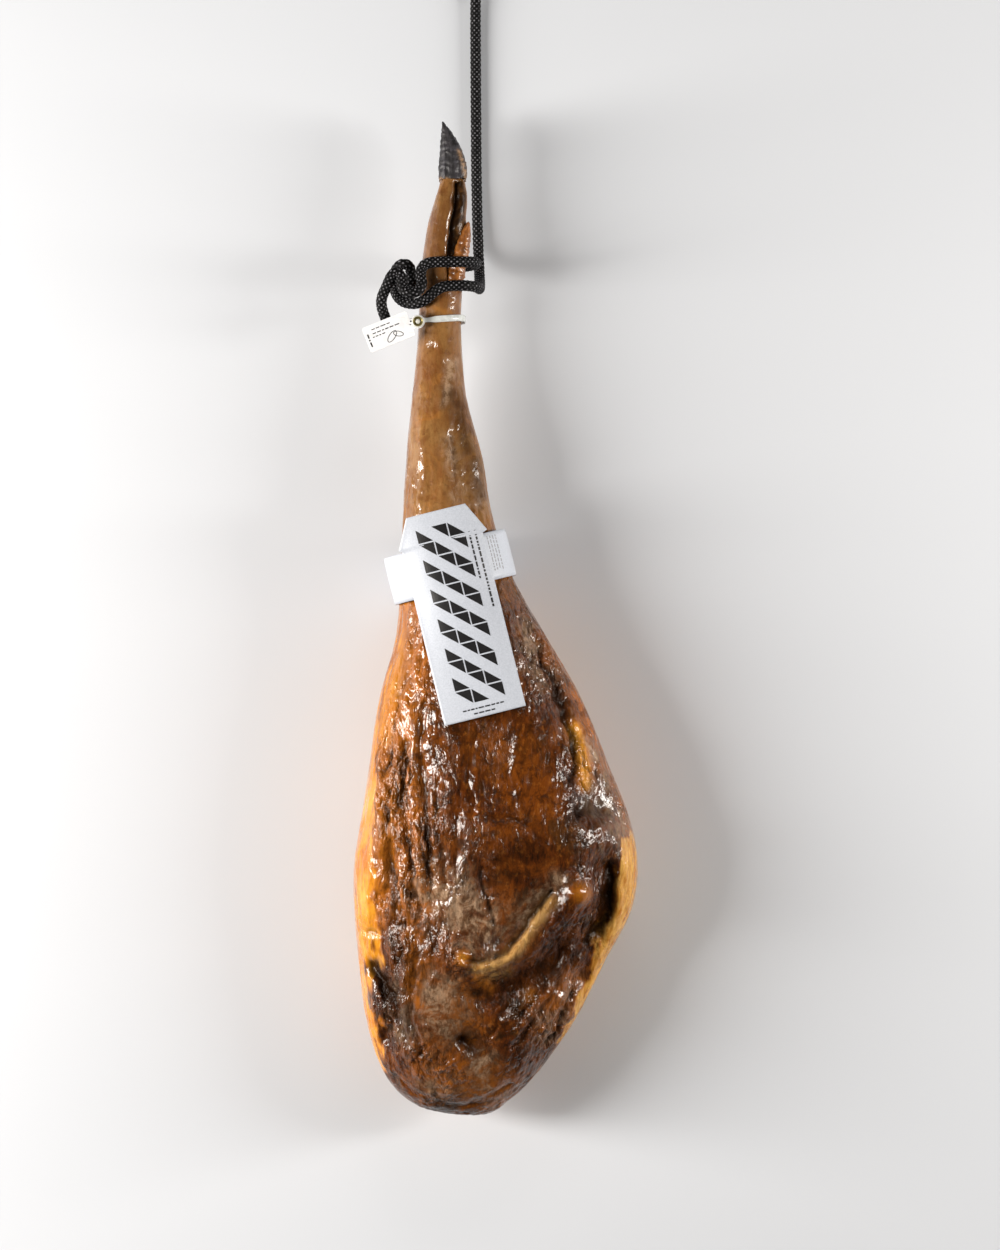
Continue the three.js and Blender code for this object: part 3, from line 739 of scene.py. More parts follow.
def add_label():
    card, ink = card_material(), ink_material()
    add_panel(card)
    add_band(card)
    rng = random.Random(4)
    fine = dashes(rng, -23, 39, 25.6, 1.5, True) + dashes(rng, -23, 15, 20.9, 1.3, True)
    fine += dashes(rng, -17, 16, -114.2, 1.1, False) + dashes(rng, -9, 9, -118.0, 1.1, False)
    faint = [row for level in (34.2, 36.4, 38.6, 40.8) for row in dashes(rng, -16, 12, level, 0.7, True)]
    add_print("label_motifs", motifs(), panel_place, ink)
    add_print("label_fine_print", fine, panel_place, ink)
    add_print("band_fine_print", faint, band_place, grey_ink_material())


# Seal

def seal_material(name, low, high, roughness, coat=0.0):
    seal = Finish(name, roughness=roughness, coat=coat, coat_roughness=0.1)
    cloud = seal.noise(240.0, 3.0)
    scuff = seal.noise(70.0, 4.0, 0.7, seal.stretched((1.0, 9.0, 1.0), 0.4))
    plain = seal.mix(seal.span(cloud, 0.3, 0.7), low, high)
    seal.colour(seal.mix(seal.span(scuff, 0.58, 0.72, 0.0, 0.35), plain, srgb(176, 168, 152)))
    seal.set("Roughness", seal.span(scuff, 0.35, 0.7, roughness, roughness + 0.2))
    seal.set("Normal", seal.bump(cloud, 0.0002, 0.3))
    return seal.material


def add_strap():
    """A flat strap round the shank, narrowed where it turns under the rivet."""
    count = len(STRAP_ROUTE)
    wrapped = [(x, z, 0) for x, z in STRAP_ROUTE[-2:] + STRAP_ROUTE + STRAP_ROUTE[:3]]
    per_leg = 18
    line = route_line(wrapped, per_leg)[2 * per_leg:(2 + count) * per_leg + 1]
    along = np.gradient(line, axis=0)
    along /= np.linalg.norm(along, axis=1)[:, None]
    places, outward = [], []
    for (x, z, _), (run_x, run_z, _) in zip(line, along):
        y = STRAP_Y + (x - STRAP_TURN_X) * math.tan(STRAP_TILT) * (1 if z > 63.5 else 0.4)
        places.append((x * MM, y * MM, z * MM))
        outward.append((-run_z, 0, run_x))
    neck = bell(np.array([x for x, _, _ in line]) + 54.0, 4.5) * (line[:, 1] > 70)
    flat, rise = STRAP_THICKNESS / 2, STRAP_WIDTH / 2
    corner = 0.35
    outline = [
        (flat - corner, -rise), (flat, corner - rise), (flat, 0), (flat, rise - corner),
        (flat - corner, rise), (corner - flat, rise), (-flat, rise - corner), (-flat, 0),
        (-flat, corner - rise), (corner - flat, -rise),
    ]
    section = np.broadcast_to(np.array(outline), (len(line), len(outline), 2)).copy() * MM
    section[:, :, 1] *= (1 - 0.34 * neck)[:, None]
    side = np.array(outward)
    up = np.tile((0.0, 1.0, 0.0), (len(line), 1))
    bm = sweep(np.array(places), side, up, section, np.arange(len(line)) * MM)
    bmesh.ops.remove_doubles(bm, verts=bm.verts, dist=5e-6)
    material = seal_material("cream_strap", srgb(192, 197, 194), srgb(217, 220, 218), 0.24, 0.3)
    return finish_piece(from_bmesh("seal_strap", bm), material, "seal", "strap")


def plate_point(x, y, z):
    turned = Matrix.Rotation(PLATE_TILT, 2) @ Vector((x, y))
    return Vector((turned.x + PLATE_AT[0], turned.y + PLATE_AT[1], z + PLATE_AT[2])) * MM


def sag(x):
    """How far the plate bows down towards its outer end, in millimetres."""
    return 0.9 * max(0.0, -x / 19.0) ** 2


def plate_place(point):
    """Where a point of the solid lies on the plate's own axes, in millimetres."""
    flat = Matrix.Rotation(-PLATE_TILT, 2) @ Vector((point.x / MM - PLATE_AT[0], point.y / MM - PLATE_AT[1]))
    return flat.x, flat.y, point.z / MM - PLATE_AT[2]


def add_plate():
    bm = node_bmesh("tag")
    bmesh.ops.dissolve_limit(bm, angle_limit=0.01, verts=bm.verts, edges=bm.edges)
    round_edges(bm, 0.3 * MM)
    for vert in bm.verts:
        vert.co = Vector(plate_place(vert.co))
    bmesh.ops.triangulate(bm, faces=bm.faces)
    slice_across(bm, 0, np.arange(-18.5, 18, 2.2))
    for vert in bm.verts:
        x, y, z = vert.co
        vert.co = plate_point(x, y, z - sag(x) * min(1.0, (2.6 - z)))
    piece = from_bmesh("seal_plate", bm, smooth=False)
    material = seal_material("white_plate", srgb(226, 227, 230), srgb(240, 241, 243), 0.4)
    return finish_piece(piece, material, "seal", "tag")


def oval_outline(x, y, long, short, degrees):
    """An oval drawn as a thin line, as a ring of quads."""
    turn = math.radians(degrees)
    rings = []
    for size in (0.0, 0.55):
        ring = []
        for i in range(33):
            a = (long - size) * math.cos(i * math.pi / 16)
            b = (short - size) * math.sin(i * math.pi / 16)
            ring.append((
                x + a * math.cos(turn) - b * math.sin(turn),
                y + a * math.sin(turn) + b * math.cos(turn),
            ))
        rings.append(ring)
    return [[rings[0][i], rings[0][i + 1], rings[1][i + 1], rings[1][i]] for i in range(32)]


def add_plate_print():
    rng = random.Random(11)
    rows = dashes(rng, -12, 3.6, 6.1, 0.75, False) + dashes(rng, -12.3, 11.9, 2.7, 0.85, False)
    rows += dashes(rng, -13.2, -2.7, 0.0, 0.75, False) + dashes(rng, -4.2, 6.5, -16.9, 1.2, True)
    rows += oval_outline(1.4, -4.4, 5.6, 2.6, 35) + oval_outline(6.8, -4.2, 4.2, 2.2, -30)
    rows.append(arc(19.6, 1.2, 0.75, 0, 330, 11))
    bm = bmesh.new()
    for corners in rows:
        flat_shape(bm, corners)
    slice_across(bm, 0, np.arange(-18, 12, 3))
    for vert in bm.verts:
        x, y, _ = vert.co
        vert.co = plate_point(x, y, PLATE_THICKNESS + 0.05 - sag(x) * 0.6)
    thicken(bm, 0.08 * MM)
    finish_piece(from_bmesh("seal_print", bm, smooth=False), ink_material(), "card")


def rivet_material():
    rivet = Finish("olive_brass", roughness=0.3)
    rivet.set("Metallic", rivet.span(rivet.attribute("ring"), 0.4, 0.6, 0.0, 0.7))
    brass = rivet.mix(rivet.noise(500.0, 3.0), srgb(96, 84, 40), srgb(160, 148, 92))
    rivet.colour(rivet.mix(rivet.attribute("ring"), srgb(206, 205, 196), brass))
    return rivet.material


def add_rivet():
    """The rivet's head: a cream rim, a cup of dull brass and a pale dome in it."""
    low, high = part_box("rivet")
    height = (high.z - low.z) / MM
    radius = (high.x - low.x) / 2 / MM
    profile = [
        (0, 0), (radius, 0), (radius, height - 0.6), (radius - 0.2, height - 0.15), (radius - 0.6, height),
        (3.7, height), (3.4, height - 0.2), (3.3, 0.9), (2.0, 0.8), (1.9, 1.3), (1.5, 1.75), (0.8, 1.95),
        (0, 2.0),
    ]
    bm = bmesh.new()
    ring = bm.verts.layers.float.new("ring")
    verts = [bm.verts.new((r, 0, z)) for r, z in profile]
    edges = [bm.edges.new(pair) for pair in zip(verts, verts[1:])]
    bmesh.ops.spin(
        bm, geom=verts + edges, cent=(0, 0, 0), axis=(0, 0, 1), angle=2 * math.pi, steps=40, use_merge=True,
    )
    bmesh.ops.remove_doubles(bm, verts=bm.verts, dist=1e-4)
    bmesh.ops.recalc_face_normals(bm, faces=bm.faces)
    for vert in bm.verts:
        out = math.hypot(vert.co.x, vert.co.y)
        vert[ring] = 1.0 if 1.95 < out < 3.72 else 0.0
    middle = (low + high) / 2
    bmesh.ops.scale(bm, vec=(MM, MM, MM), verts=bm.verts)
    bmesh.ops.translate(bm, vec=(middle.x, middle.y, low.z), verts=bm.verts)
    return finish_piece(from_bmesh("seal_rivet", bm), rivet_material(), "rivet", "rivet")


def add_seal():
    add_strap()
    add_plate()
    add_plate_print()
    add_rivet()


# Hooves and dewclaws: each horn reaches a little over the end of its toe

HORN_OVERLAP = 0.0026


def horn_material():
    horn = Finish("grey_horn", roughness=0.5, specular=0.45)
    fibres = horn.noise(260.0, 4.0, 0.6, horn.stretched((1.0, 0.16, 1.0)))
    rings = horn.noise(190.0, 4.0, 0.7, horn.stretched((0.35, 1.0, 0.5), -0.3))
    dust = horn.noise(130.0, 4.0, 0.65)
    base = horn.mix(horn.span(fibres, 0.35, 0.68), srgb(14, 12, 13), srgb(56, 53, 57))
    base = horn.mix(horn.span(rings, 0.46, 0.7, 0.0, 0.45), base, srgb(80, 79, 88))
    base = horn.mix(horn.span(dust, 0.5, 0.66, 0.0, 0.8), base, srgb(20, 16, 17))
    base = horn.mix(horn.attribute("tan"), base, srgb(156, 122, 88))
    horn.colour(base)
    horn.set("Roughness", horn.span(dust, 0.3, 0.7, 0.35, 0.65))
    relief = horn.math("ADD", fibres, horn.math("MULTIPLY", rings, 0.8))
    horn.set("Normal", horn.bump(relief, 0.0009, 0.6))
    return horn.material


def add_hoof(node, material):
    bm = remeshed(node_bmesh(node), 0.00075)
    smoothed(bm, 3)
    bm.normal_update()
    piece = from_bmesh(node + "_horn", bm)
    mesh = piece.data
    co, no = vertex_vectors(mesh, "co"), vertex_vectors(mesh, "normal")
    x, y, z = (co / MM).T
    low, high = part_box(node)
    base = y - low.y / MM
    rings = 0.2 * np.sin((base + 0.12 * (x + 34) + fractal(x / 6, y / 6, z / 6, 2) * 3.0) * 2 * math.pi / 5.2)
    fibres = 0.26 * fractal(x / 1.6, y / 14, z / 1.6, 2)
    chip = 1.6 * bell(path_distance(x, y, [(-25.5, 354), (-28.5, 358)]), 2.6)
    rough = 0.5 * fractal(x / 3, y / 3, z / 3, 2) * ramp(9, 1, base)
    move = (rings + fibres) * ramp(0.5, 3, base) - chip + rough - 0.3
    co += no * (move * MM)[:, None]
    start = co[:, 1].min()
    co[:, 1] -= (start - low.y + HORN_OVERLAP) * ramp(start + 0.008, start + 0.0005, co[:, 1])
    mesh.vertices.foreach_set("co", co.ravel())
    heel = bell(path_distance(x, y, [(-22.5, 354), (-25.5, 364), (-29, 374)]), 1.8)
    crown = bell(path_distance(x, y, [(-46, 354.4), (-38, 353.6)]), 1.2)
    worn = ramp(-0.6, 0.3, fractal(x / 2, y / 2, z / 2, 2))
    set_attribute(mesh, "tan", np.clip(0.85 * heel + crown, 0, 1) * worn)
    mesh.update()
    return finish_piece(piece, material, "hoof", node)


def claw_material():
    claw = Finish("amber_horn", roughness=0.32, specular=0.55, coat=0.3)
    streaks = claw.noise(300.0, 4.0, 0.6, claw.stretched((1.0, 0.2, 1.0), -0.25))
    blots = claw.noise(140.0, 3.0)
    base = claw.mix(claw.span(streaks, 0.3, 0.7), srgb(104, 56, 18), srgb(172, 108, 48))
    claw.colour(claw.mix(claw.span(blots, 0.5, 0.72, 0.0, 0.7), base, srgb(70, 38, 18)))
    claw.set("Normal", claw.bump(streaks, 0.0008, 0.6))
    return claw.material


def add_dewclaw(name, level, material):
    base = Vector((*DEWCLAW_BASE, level))
    line = Vector((*DEWCLAW_TIP, level)) - base
    profile = [(r * DEWCLAW_RADIUS, h * line.length) for r, h in DEWCLAW_PROFILE]
    heights = np.linspace(profile[0][1], profile[-1][1], 44)
    radii = np.interp(heights, [h for _, h in profile], [r for r, _ in profile])
    bm = bmesh.new()
    verts = [bm.verts.new((r, 0, h)) for r, h in zip(radii, heights)]
    edges = [bm.edges.new(pair) for pair in zip(verts, verts[1:])]
    bmesh.ops.spin(
        bm, geom=verts + edges, cent=(0, 0, 0), axis=(0, 0, 1), angle=2 * math.pi, steps=36, use_merge=True,
    )
    bmesh.ops.remove_doubles(bm, verts=bm.verts, dist=1e-4)
    bmesh.ops.holes_fill(bm, edges=[edge for edge in bm.edges if edge.is_boundary], sides=0)
    bmesh.ops.recalc_face_normals(bm, faces=bm.faces)
    for vert in bm.verts:
        swell = 1 + 0.05 * math.sin(vert.co.z * 1.5) + 0.14 * noise.noise(vert.co * 0.24)
        vert.co.x *= swell
        vert.co.y *= swell
    turn = line.to_track_quat("Z", "Y").to_matrix().to_4x4()
    bmesh.ops.transform(bm, matrix=Matrix.Scale(MM, 4) @ Matrix.Translation(base) @ turn, verts=bm.verts)
    return finish_piece(from_bmesh(name, bm), material, "ham")


# Ham: what its surface is made of, in millimetres seen from above, +X right and +Y towards the hoof

LEFT_FAT_EDGE = [
    (-372, -88), (-352, -93), (-330, -90), (-300, -101), (-278, -97), (-250, -91), (-215, -92), (-180, -93),
    (-140, -93), (-112, -92), (-90, -90), (-64, -88), (-40, -82), (-20, -76), (10, -68), (40, -60),
]
RIGHT_FAT_EDGE = [
    (-372, 30), (-348, 44), (-334, 52), (-294, 69), (-267, 80), (-253, 78), (-238, 86), (-202, 96),
    (-179, 98), (-168, 108),
]

# The level of the cleft between the two toes
TOES_PART_AT = 64.0

# Grooves: depth and half width, and their paths
GROOVES = [
    (2.0, 3.6, [(30, -14), (48, -50)]),
    (4.0, 3.0, [(50, -54), (58, -84), (64, -112), (62, -124)]),
    (3.0, 2.2, [(-12, -196), (-8, -216), (-1, -238)]),
    (2.0, 2.0, [(-6, -155), (20, -158), (38, -174)]),
    (1.6, 2.0, [(-113, -251), (-102, -247), (-92, -250)]),
    (6.0, 4.5, [(-99, -274), (-94, -284), (-86, -298)]),
    (4.0, 3.5, [(-87, -334), (-85, -318)]),
    (3.0, 2.8, [(-83, -92), (-86, -144), (-84, -192), (-88, -226)]),
    (3.4, 3.2, [(-70, -96), (-73, -144), (-67, -200), (-62, -228)]),
    (3.0, 3.0, [(-57, -64), (-60, -112), (-54, -160), (-51, -208)]),
    (2.4, 2.4, [(-47, -136), (-44, -176), (-40, -208)]),
    (2.2, 2.2, [(-78, -120), (-79, -160), (-74, -190)]),
    (1.8, 2.2, [(-28, -150), (-32, -180), (-30, -205)]),
    (1.8, 2.2, [(-18, -96), (-21, -124), (-16, -150)]),
    (1.6, 2.4, [(18, -92), (14, -120), (20, -146)]),
    (5.0, 4.0, [(90, -196), (91, -220), (85, -240), (74, -257)]),
    (3.2, 2.6, [(36, -312), (56, -276), (66, -260)]),
    (2.6, 2.4, [(24, -312), (42, -284), (54, -262)]),
    (2.6, 2.4, [(42, -336), (64, -296)]),
    (2.2, 2.0, [(14, -340), (30, -314)]),
    (2.0, 2.4, [(-4, -330), (8, -306), (20, -290)]),
    (2.6, 3.0, [(-76, -262), (-80, -304), (-72, -338)]),
    (2.2, 2.6, [(-64, -270), (-67, -312), (-59, -346)]),
    (2.4, 3.0, [(-28, -334), (-16, -338)]),
    (1.8, 3.0, [(-86, -360), (-70, -373), (-54, -382), (-34, -388), (-12, -384), (12, -370)]),
    (4.2, 2.4, [(-32, -263), (-14, -268.5), (3, -262.5), (20, -247), (31, -230), (45, -213)]),
    (1.8, 2.6, [(-36, 146), (-31, 118), (-27, 90)]),
    (1.4, 2.6, [(-38, 204), (-41, 188), (-42, 172)]),
    (2.2, 2.4, [(46, -18), (62, -56), (76, -90)]),
    (1.8, 2.2, [(36, -26), (46, -52), (50, -76)]),
    (7.5, 3.0, [(-35, 274), (-34.5, 290), (-33, 312), (-31, 332), (-29, 350)]),
]

# Ridges and lumps, in the same form
RIDGES = [
    (2.2, 3.4, [(-15, -273), (4, -267), (20, -253), (31, -236), (44, -220)]),
    (2.0, 4.0, [(-90, -110), (-92, -160), (-90, -210)]),
    (2.2, 3.6, [(-77, -96), (-79, -140), (-75, -188), (-70, -220)]),
    (2.2, 3.6, [(-64, -80), (-66, -130), (-60, -186), (-56, -216)]),
    (1.6, 3.2, [(-50, -150), (-48, -190), (-45, -214)]),
    (2.0, 3.0, [(30, -312), (50, -280), (60, -262)]),
    (2.0, 3.0, [(34, -330), (60, -290)]),
    (1.6, 2.6, [(-44, -356), (-30, -344), (-18, -330)]),
    (2.6, 6.0, [(-27, -264)]),
    (2.0, 4.0, [(-22, -271)]),
    (3.0, 9.0, [(66, -214)]),
    (2.0, 4.0, [(56, -206), (62, -200)]),
    (2.0, 8.0, [(-9, 127)]),
    (1.4, 9.0, [(-69, 146)]),
    (1.2, 5.0, [(-53, 152), (-50, 138)]),
    (1.8, 5.0, [(-57, 158), (-57, 120), (-60, 84)]),
    (1.6, 4.0, [(36, -8), (62, -54), (82, -92)]),
]

# Dents: depth, radius and place
DENTS = [
    (1.2, 1.8, (-64, 300)), (1.0, 1.6, (-55, 317)), (1.0, 1.6, (-49, 330)), (1.2, 2.2, (-58, 246)),
    (5.0, 5.0, (67, -150)), (1.5, 4.0, (-50, 216)), (4.0, 5.5, (-24, -333)), (2.0, 8.0, (-16, -296)),
    (1.2, 3.0, (-46, 196)), (2.5, 6.0, (84, -150)), (2.0, 6.0, (30, -128)), (1.8, 5.0, (-2, -120)),
]

# Patches of colour: share, radius and path
FATTY = [
    (0.9, 20.0, [(-84, 30), (-86, -30), (-92, -90)]),
    (0.45, 14.0, [(-66, 30), (-72, -60), (-84, -130), (-88, -200)]),
    (1.0, 8.0, [(63, -86), (69, -106), (72, -130)]),
    (0.9, 6.5, [(-25, -265)]),
    (0.55, 11.0, [(67, -214)]),
    (0.5, 7.0, [(-12, -282), (-4, -290)]),
    (0.45, 9.0, [(26, -296)]),
]
AMBER = [
    (1.0, 22.0, [(-84, 0), (-92, -60)]),
    (1.0, 15.0, [(-58, 30), (-64, -40), (-74, -90)]),
    (0.8, 16.0, [(-66, 20), (-76, -60), (-84, -110)]),
    (1.0, 14.0, [(52, -10), (76, -60), (92, -110)]),
    (0.15, 22.0, [(-20, -100), (24, -96)]),
    (0.9, 9.0, [(-88, -80), (-93, -160), (-91, -236)]),
    (0.85, 17.0, [(-72, -90), (-72, -170), (-64, -222)]),
    (0.9, 7.0, [(84, -84), (98, -120), (108, -158), (115, -186)]),
    (0.5, 24.0, [(-30, -366), (0, -380)]),
    (0.6, 10.0, [(-66, -240), (-62, -300)]),
    (0.5, 12.0, [(-26, -300), (-22, -330)]),
    (0.5, 12.0, [(40, -322), (62, -286)]),
    (0.4, 16.0, [(-50, -352), (-20, -366)]),
]
# Grey-white patches: partly real grey bloom and mould, partly painted sheen where the lamps glance off the
# right edge and the shank
GREY_BLOOM_AND_SHEEN = [
    (0.9, 21.0, [(-46, -208), (-22, -232), (0, -248)]),
    (0.8, 8.0, [(-4, -254), (24, -231), (48, -205)]),
    (0.7, 19.0, [(-44, -292), (-42, -316)]),
    (0.75, 13.0, [(-12, -350), (-8, -366)]),
    (0.9, 6.5, [(75, -97), (90, -128), (106, -166)]),
    (0.6, 16.0, [(82, -150), (96, -170)]),
    (0.7, 15.0, [(26, -10), (36, -40)]),
    (1.0, 5.5, [(-34, 204), (-41, 174)]),
    (1.0, 6.5, [(-38, 142), (-27, 90)]),
    (0.5, 12.0, [(-8, 120), (-12, 92)]),
    (0.5, 12.0, [(-76, -292), (-72, -330)]),
    (0.45, 16.0, [(56, -300), (44, -330)]),
    (0.4, 16.0, [(0, -380), (-50, -372)]),
]
# Dark patches: real dark stains and mould, and painted shade in grooves, dents, the pocket on the right, on
# the shank's shaded side and on the far toe, which lies in shadow
DARK_STAINS_AND_SHADE = [
    (1.0, 7.0, [(91, -200), (88, -232), (75, -256)]),
    (0.9, 7.0, [(67, -150)]),
    (0.5, 9.0, [(-75, -284), (-70, -326)]),
    (0.6, 6.0, [(-12, -286), (-6, -296)]),
    (0.5, 5.0, [(-4, -253), (22, -230), (44, -204)]),
    (0.6, 15.0, [(74, -140), (82, -160)]),
    (0.7, 17.0, [(14, -288), (36, -276), (56, -256)]),
    (0.8, 9.0, [(-24, -332), (-16, -338)]),
    (0.7, 10.0, [(-16, -296)]),
    (0.9, 7.0, [(-98, -276), (-90, -292), (-86, -300)]),
    (0.8, 3.0, [(50, -54), (58, -84), (64, -112), (62, -124)]),
    (0.8, 4.0, [(-15.6, 121)]),
    (0.5, 12.0, [(-66, -262), (-68, -290)]),
    (0.5, 18.0, [(30, -180), (0, -190)]),
    (0.5, 12.0, [(-40, -388), (-20, -390)]),
    (0.5, 8.0, [(18, -240), (40, -216)]),
    (0.6, 9.0, [(-32, 178), (-27, 160), (-22, 138)]),
    (0.6, 8.0, [(-16, 126), (-12, 100)]),
    (0.7, 2.6, [(-64, 300)]),
    (0.6, 2.2, [(-55, 317)]),
    (0.6, 2.2, [(-49, 330)]),
    (0.5, 5.0, [(-62, 272), (-58, 262)]),
    (0.32, 15.0, [(-48, 276), (-50, 300), (-42, 336)]),
    (0.95, 6.0, [(-33, 280), (-30, 300), (-27, 330), (-24, 352)]),
    (0.9, 8.0, [(-24, 284), (-21, 312), (-20, 338), (-23, 350)]),
]
BONE = [
    (1.0, 4.6, [(-14, -274), (4, -268), (20, -254), (31, -237), (43, -221)]),
    (0.8, 5.0, [(-13, -275), (-1, -271)]),
    (0.4, 5.0, [(-6, -280), (8, -276)]),
]

# Where fat makes the surface wet and glossy
WET = [
    (1.0, 18.0, [(-60, 24), (-58, -50), (-60, -110)]),
    (0.9, 20.0, [(-74, -110), (-72, -170), (-66, -215)]),
    (0.9, 12.0, [(-100, -130), (-106, -220), (-98, -300)]),
    (1.0, 13.0, [(-60, 60), (-62, 100), (-64, 140), (-60, 200), (-56, 260), (-52, 320)]),
    (0.9, 7.0, [(-34, 204), (-41, 174)]),
    (0.9, 7.0, [(-38, 142), (-27, 90)]),
    (0.9, 10.0, [(75, -97), (90, -128), (106, -166)]),
    (0.8, 14.0, [(20, 0), (30, -40)]),
    (0.7, 22.0, [(-46, -208), (-22, -232), (0, -248)]),
    (0.4, 26.0, [(-60, -330), (-20, -376), (20, -350)]),
    (0.5, 16.0, [(40, -320), (64, -280)]),
]

# Where folds are deeper than elsewhere
FOLDED = [
    (1.0, 20.0, [(-74, -96), (-72, -170), (-66, -222)]),
    (0.3, 18.0, [(-58, 30), (-62, -50)]),
    (0.9, 20.0, [(44, -326), (62, -276)]),
    (0.7, 16.0, [(-74, -280), (-68, -336)]),
    (0.6, 14.0, [(12, -300), (16, -340)]),
    (0.7, 14.0, [(44, -40), (76, -110)]),
    (0.5, 20.0, [(-40, -222), (0, -232)]),
]

# Where the relief is calmer than elsewhere
CALM = [
    (0.6, 26.0, [(20, -92), (34, -128)]),
    (0.55, 26.0, [(-20, -96), (-4, -140), (10, -180)]),
    (0.7, 18.0, [(-44, -300), (-42, -318)]),
    (0.5, 22.0, [(-4, -372)]),
    (0.35, 13.0, [(-54, 40), (-53, 0), (-57, -60), (-62, -90)]),
]

# Fibres turn to run along the crease on the right and across the rump: degrees, reach and path
FIBRE_TURNS = [
    (-26, 34.0, [(44, -20), (60, -60), (84, -100)]),
    (40, 34.0, [(62, -296), (44, -316), (40, -276)]),
    (24, 26.0, [(20, -240), (44, -214)]),
    (72, 22.0, [(-60, -376), (-20, -386), (14, -376)]),
    (-10, 26.0, [(-70, -320), (-60, -350)]),
]


def patches(x, y, table):
    cover = np.zeros(len(x))
    for share, radius, path in table:
        cover = np.maximum(cover, share * bell(path_distance(x, y, path), radius))
    return cover


def edge_at(y, table):
    return np.interp(y, [row[0] for row in table], [row[1] for row in table])


def along_fibres(x, y, z, field, across, along):
    """A noise drawn out along the fibres, whose direction changes over the ham."""
    total = np.full(len(x), 0.25)
    height = total * field(x / across, y / along, z / across)
    for degrees, radius, path in FIBRE_TURNS:
        weight = 2 * bell(path_distance(x, y, path), radius)
        near = weight > 0.02
        turn = math.radians(degrees)
        s = x[near] * math.cos(turn) - y[near] * math.sin(turn)
        t = x[near] * math.sin(turn) + y[near] * math.cos(turn)
        height[near] += weight[near] * field(s / across + degrees, t / along, z[near] / across)
        total[near] += weight[near]
    return height / total


def ham_zones(x, y, up, wave):
    """Shares of the rind and fat on the left, on the right and underneath, and of the shank's skin."""
    soft = 6.0 + 8 * ramp(-110, -40, y)
    left = ramp(soft, -soft, x + 12 * wave - edge_at(y, LEFT_FAT_EDGE)) * ramp(50, 0, y)
    right = ramp(-3, 3, x + 7 * wave - edge_at(y, RIGHT_FAT_EDGE)) * ramp(-160, -172, y)
    under = ramp(0.2, -0.1, up)
    skin = ramp(0, 70, y + 0.1 * x)
    return left, right, under * (1 - skin), skin


def carve(x, y, table, sign):
    height = np.zeros(len(x))
    for size, width, path in table:
        height += sign * size * bell(path_distance(x, y, path), width)
    return height


def under_label(x, y):
    """The height of the card's underside over the ham, where the panel covers it."""
    turned = Matrix.Rotation(-LABEL_TILT, 2)
    u, v = np.array(turned) @ np.array([x - LABEL_CENTRE[0], y - LABEL_CENTRE[1]])
    limit = np.full(len(x), 1e3)
    covered = (v > PANEL_ENDS[0] - 2) & (v < PANEL_ENDS[1] + 2) & (np.abs(u) < SHOULDER_HALF + 1)
    for i in np.nonzero(covered)[0]:
        limit[i] = panel_surface.at(u[i], v[i]) - CARD - 0.4
    return limit


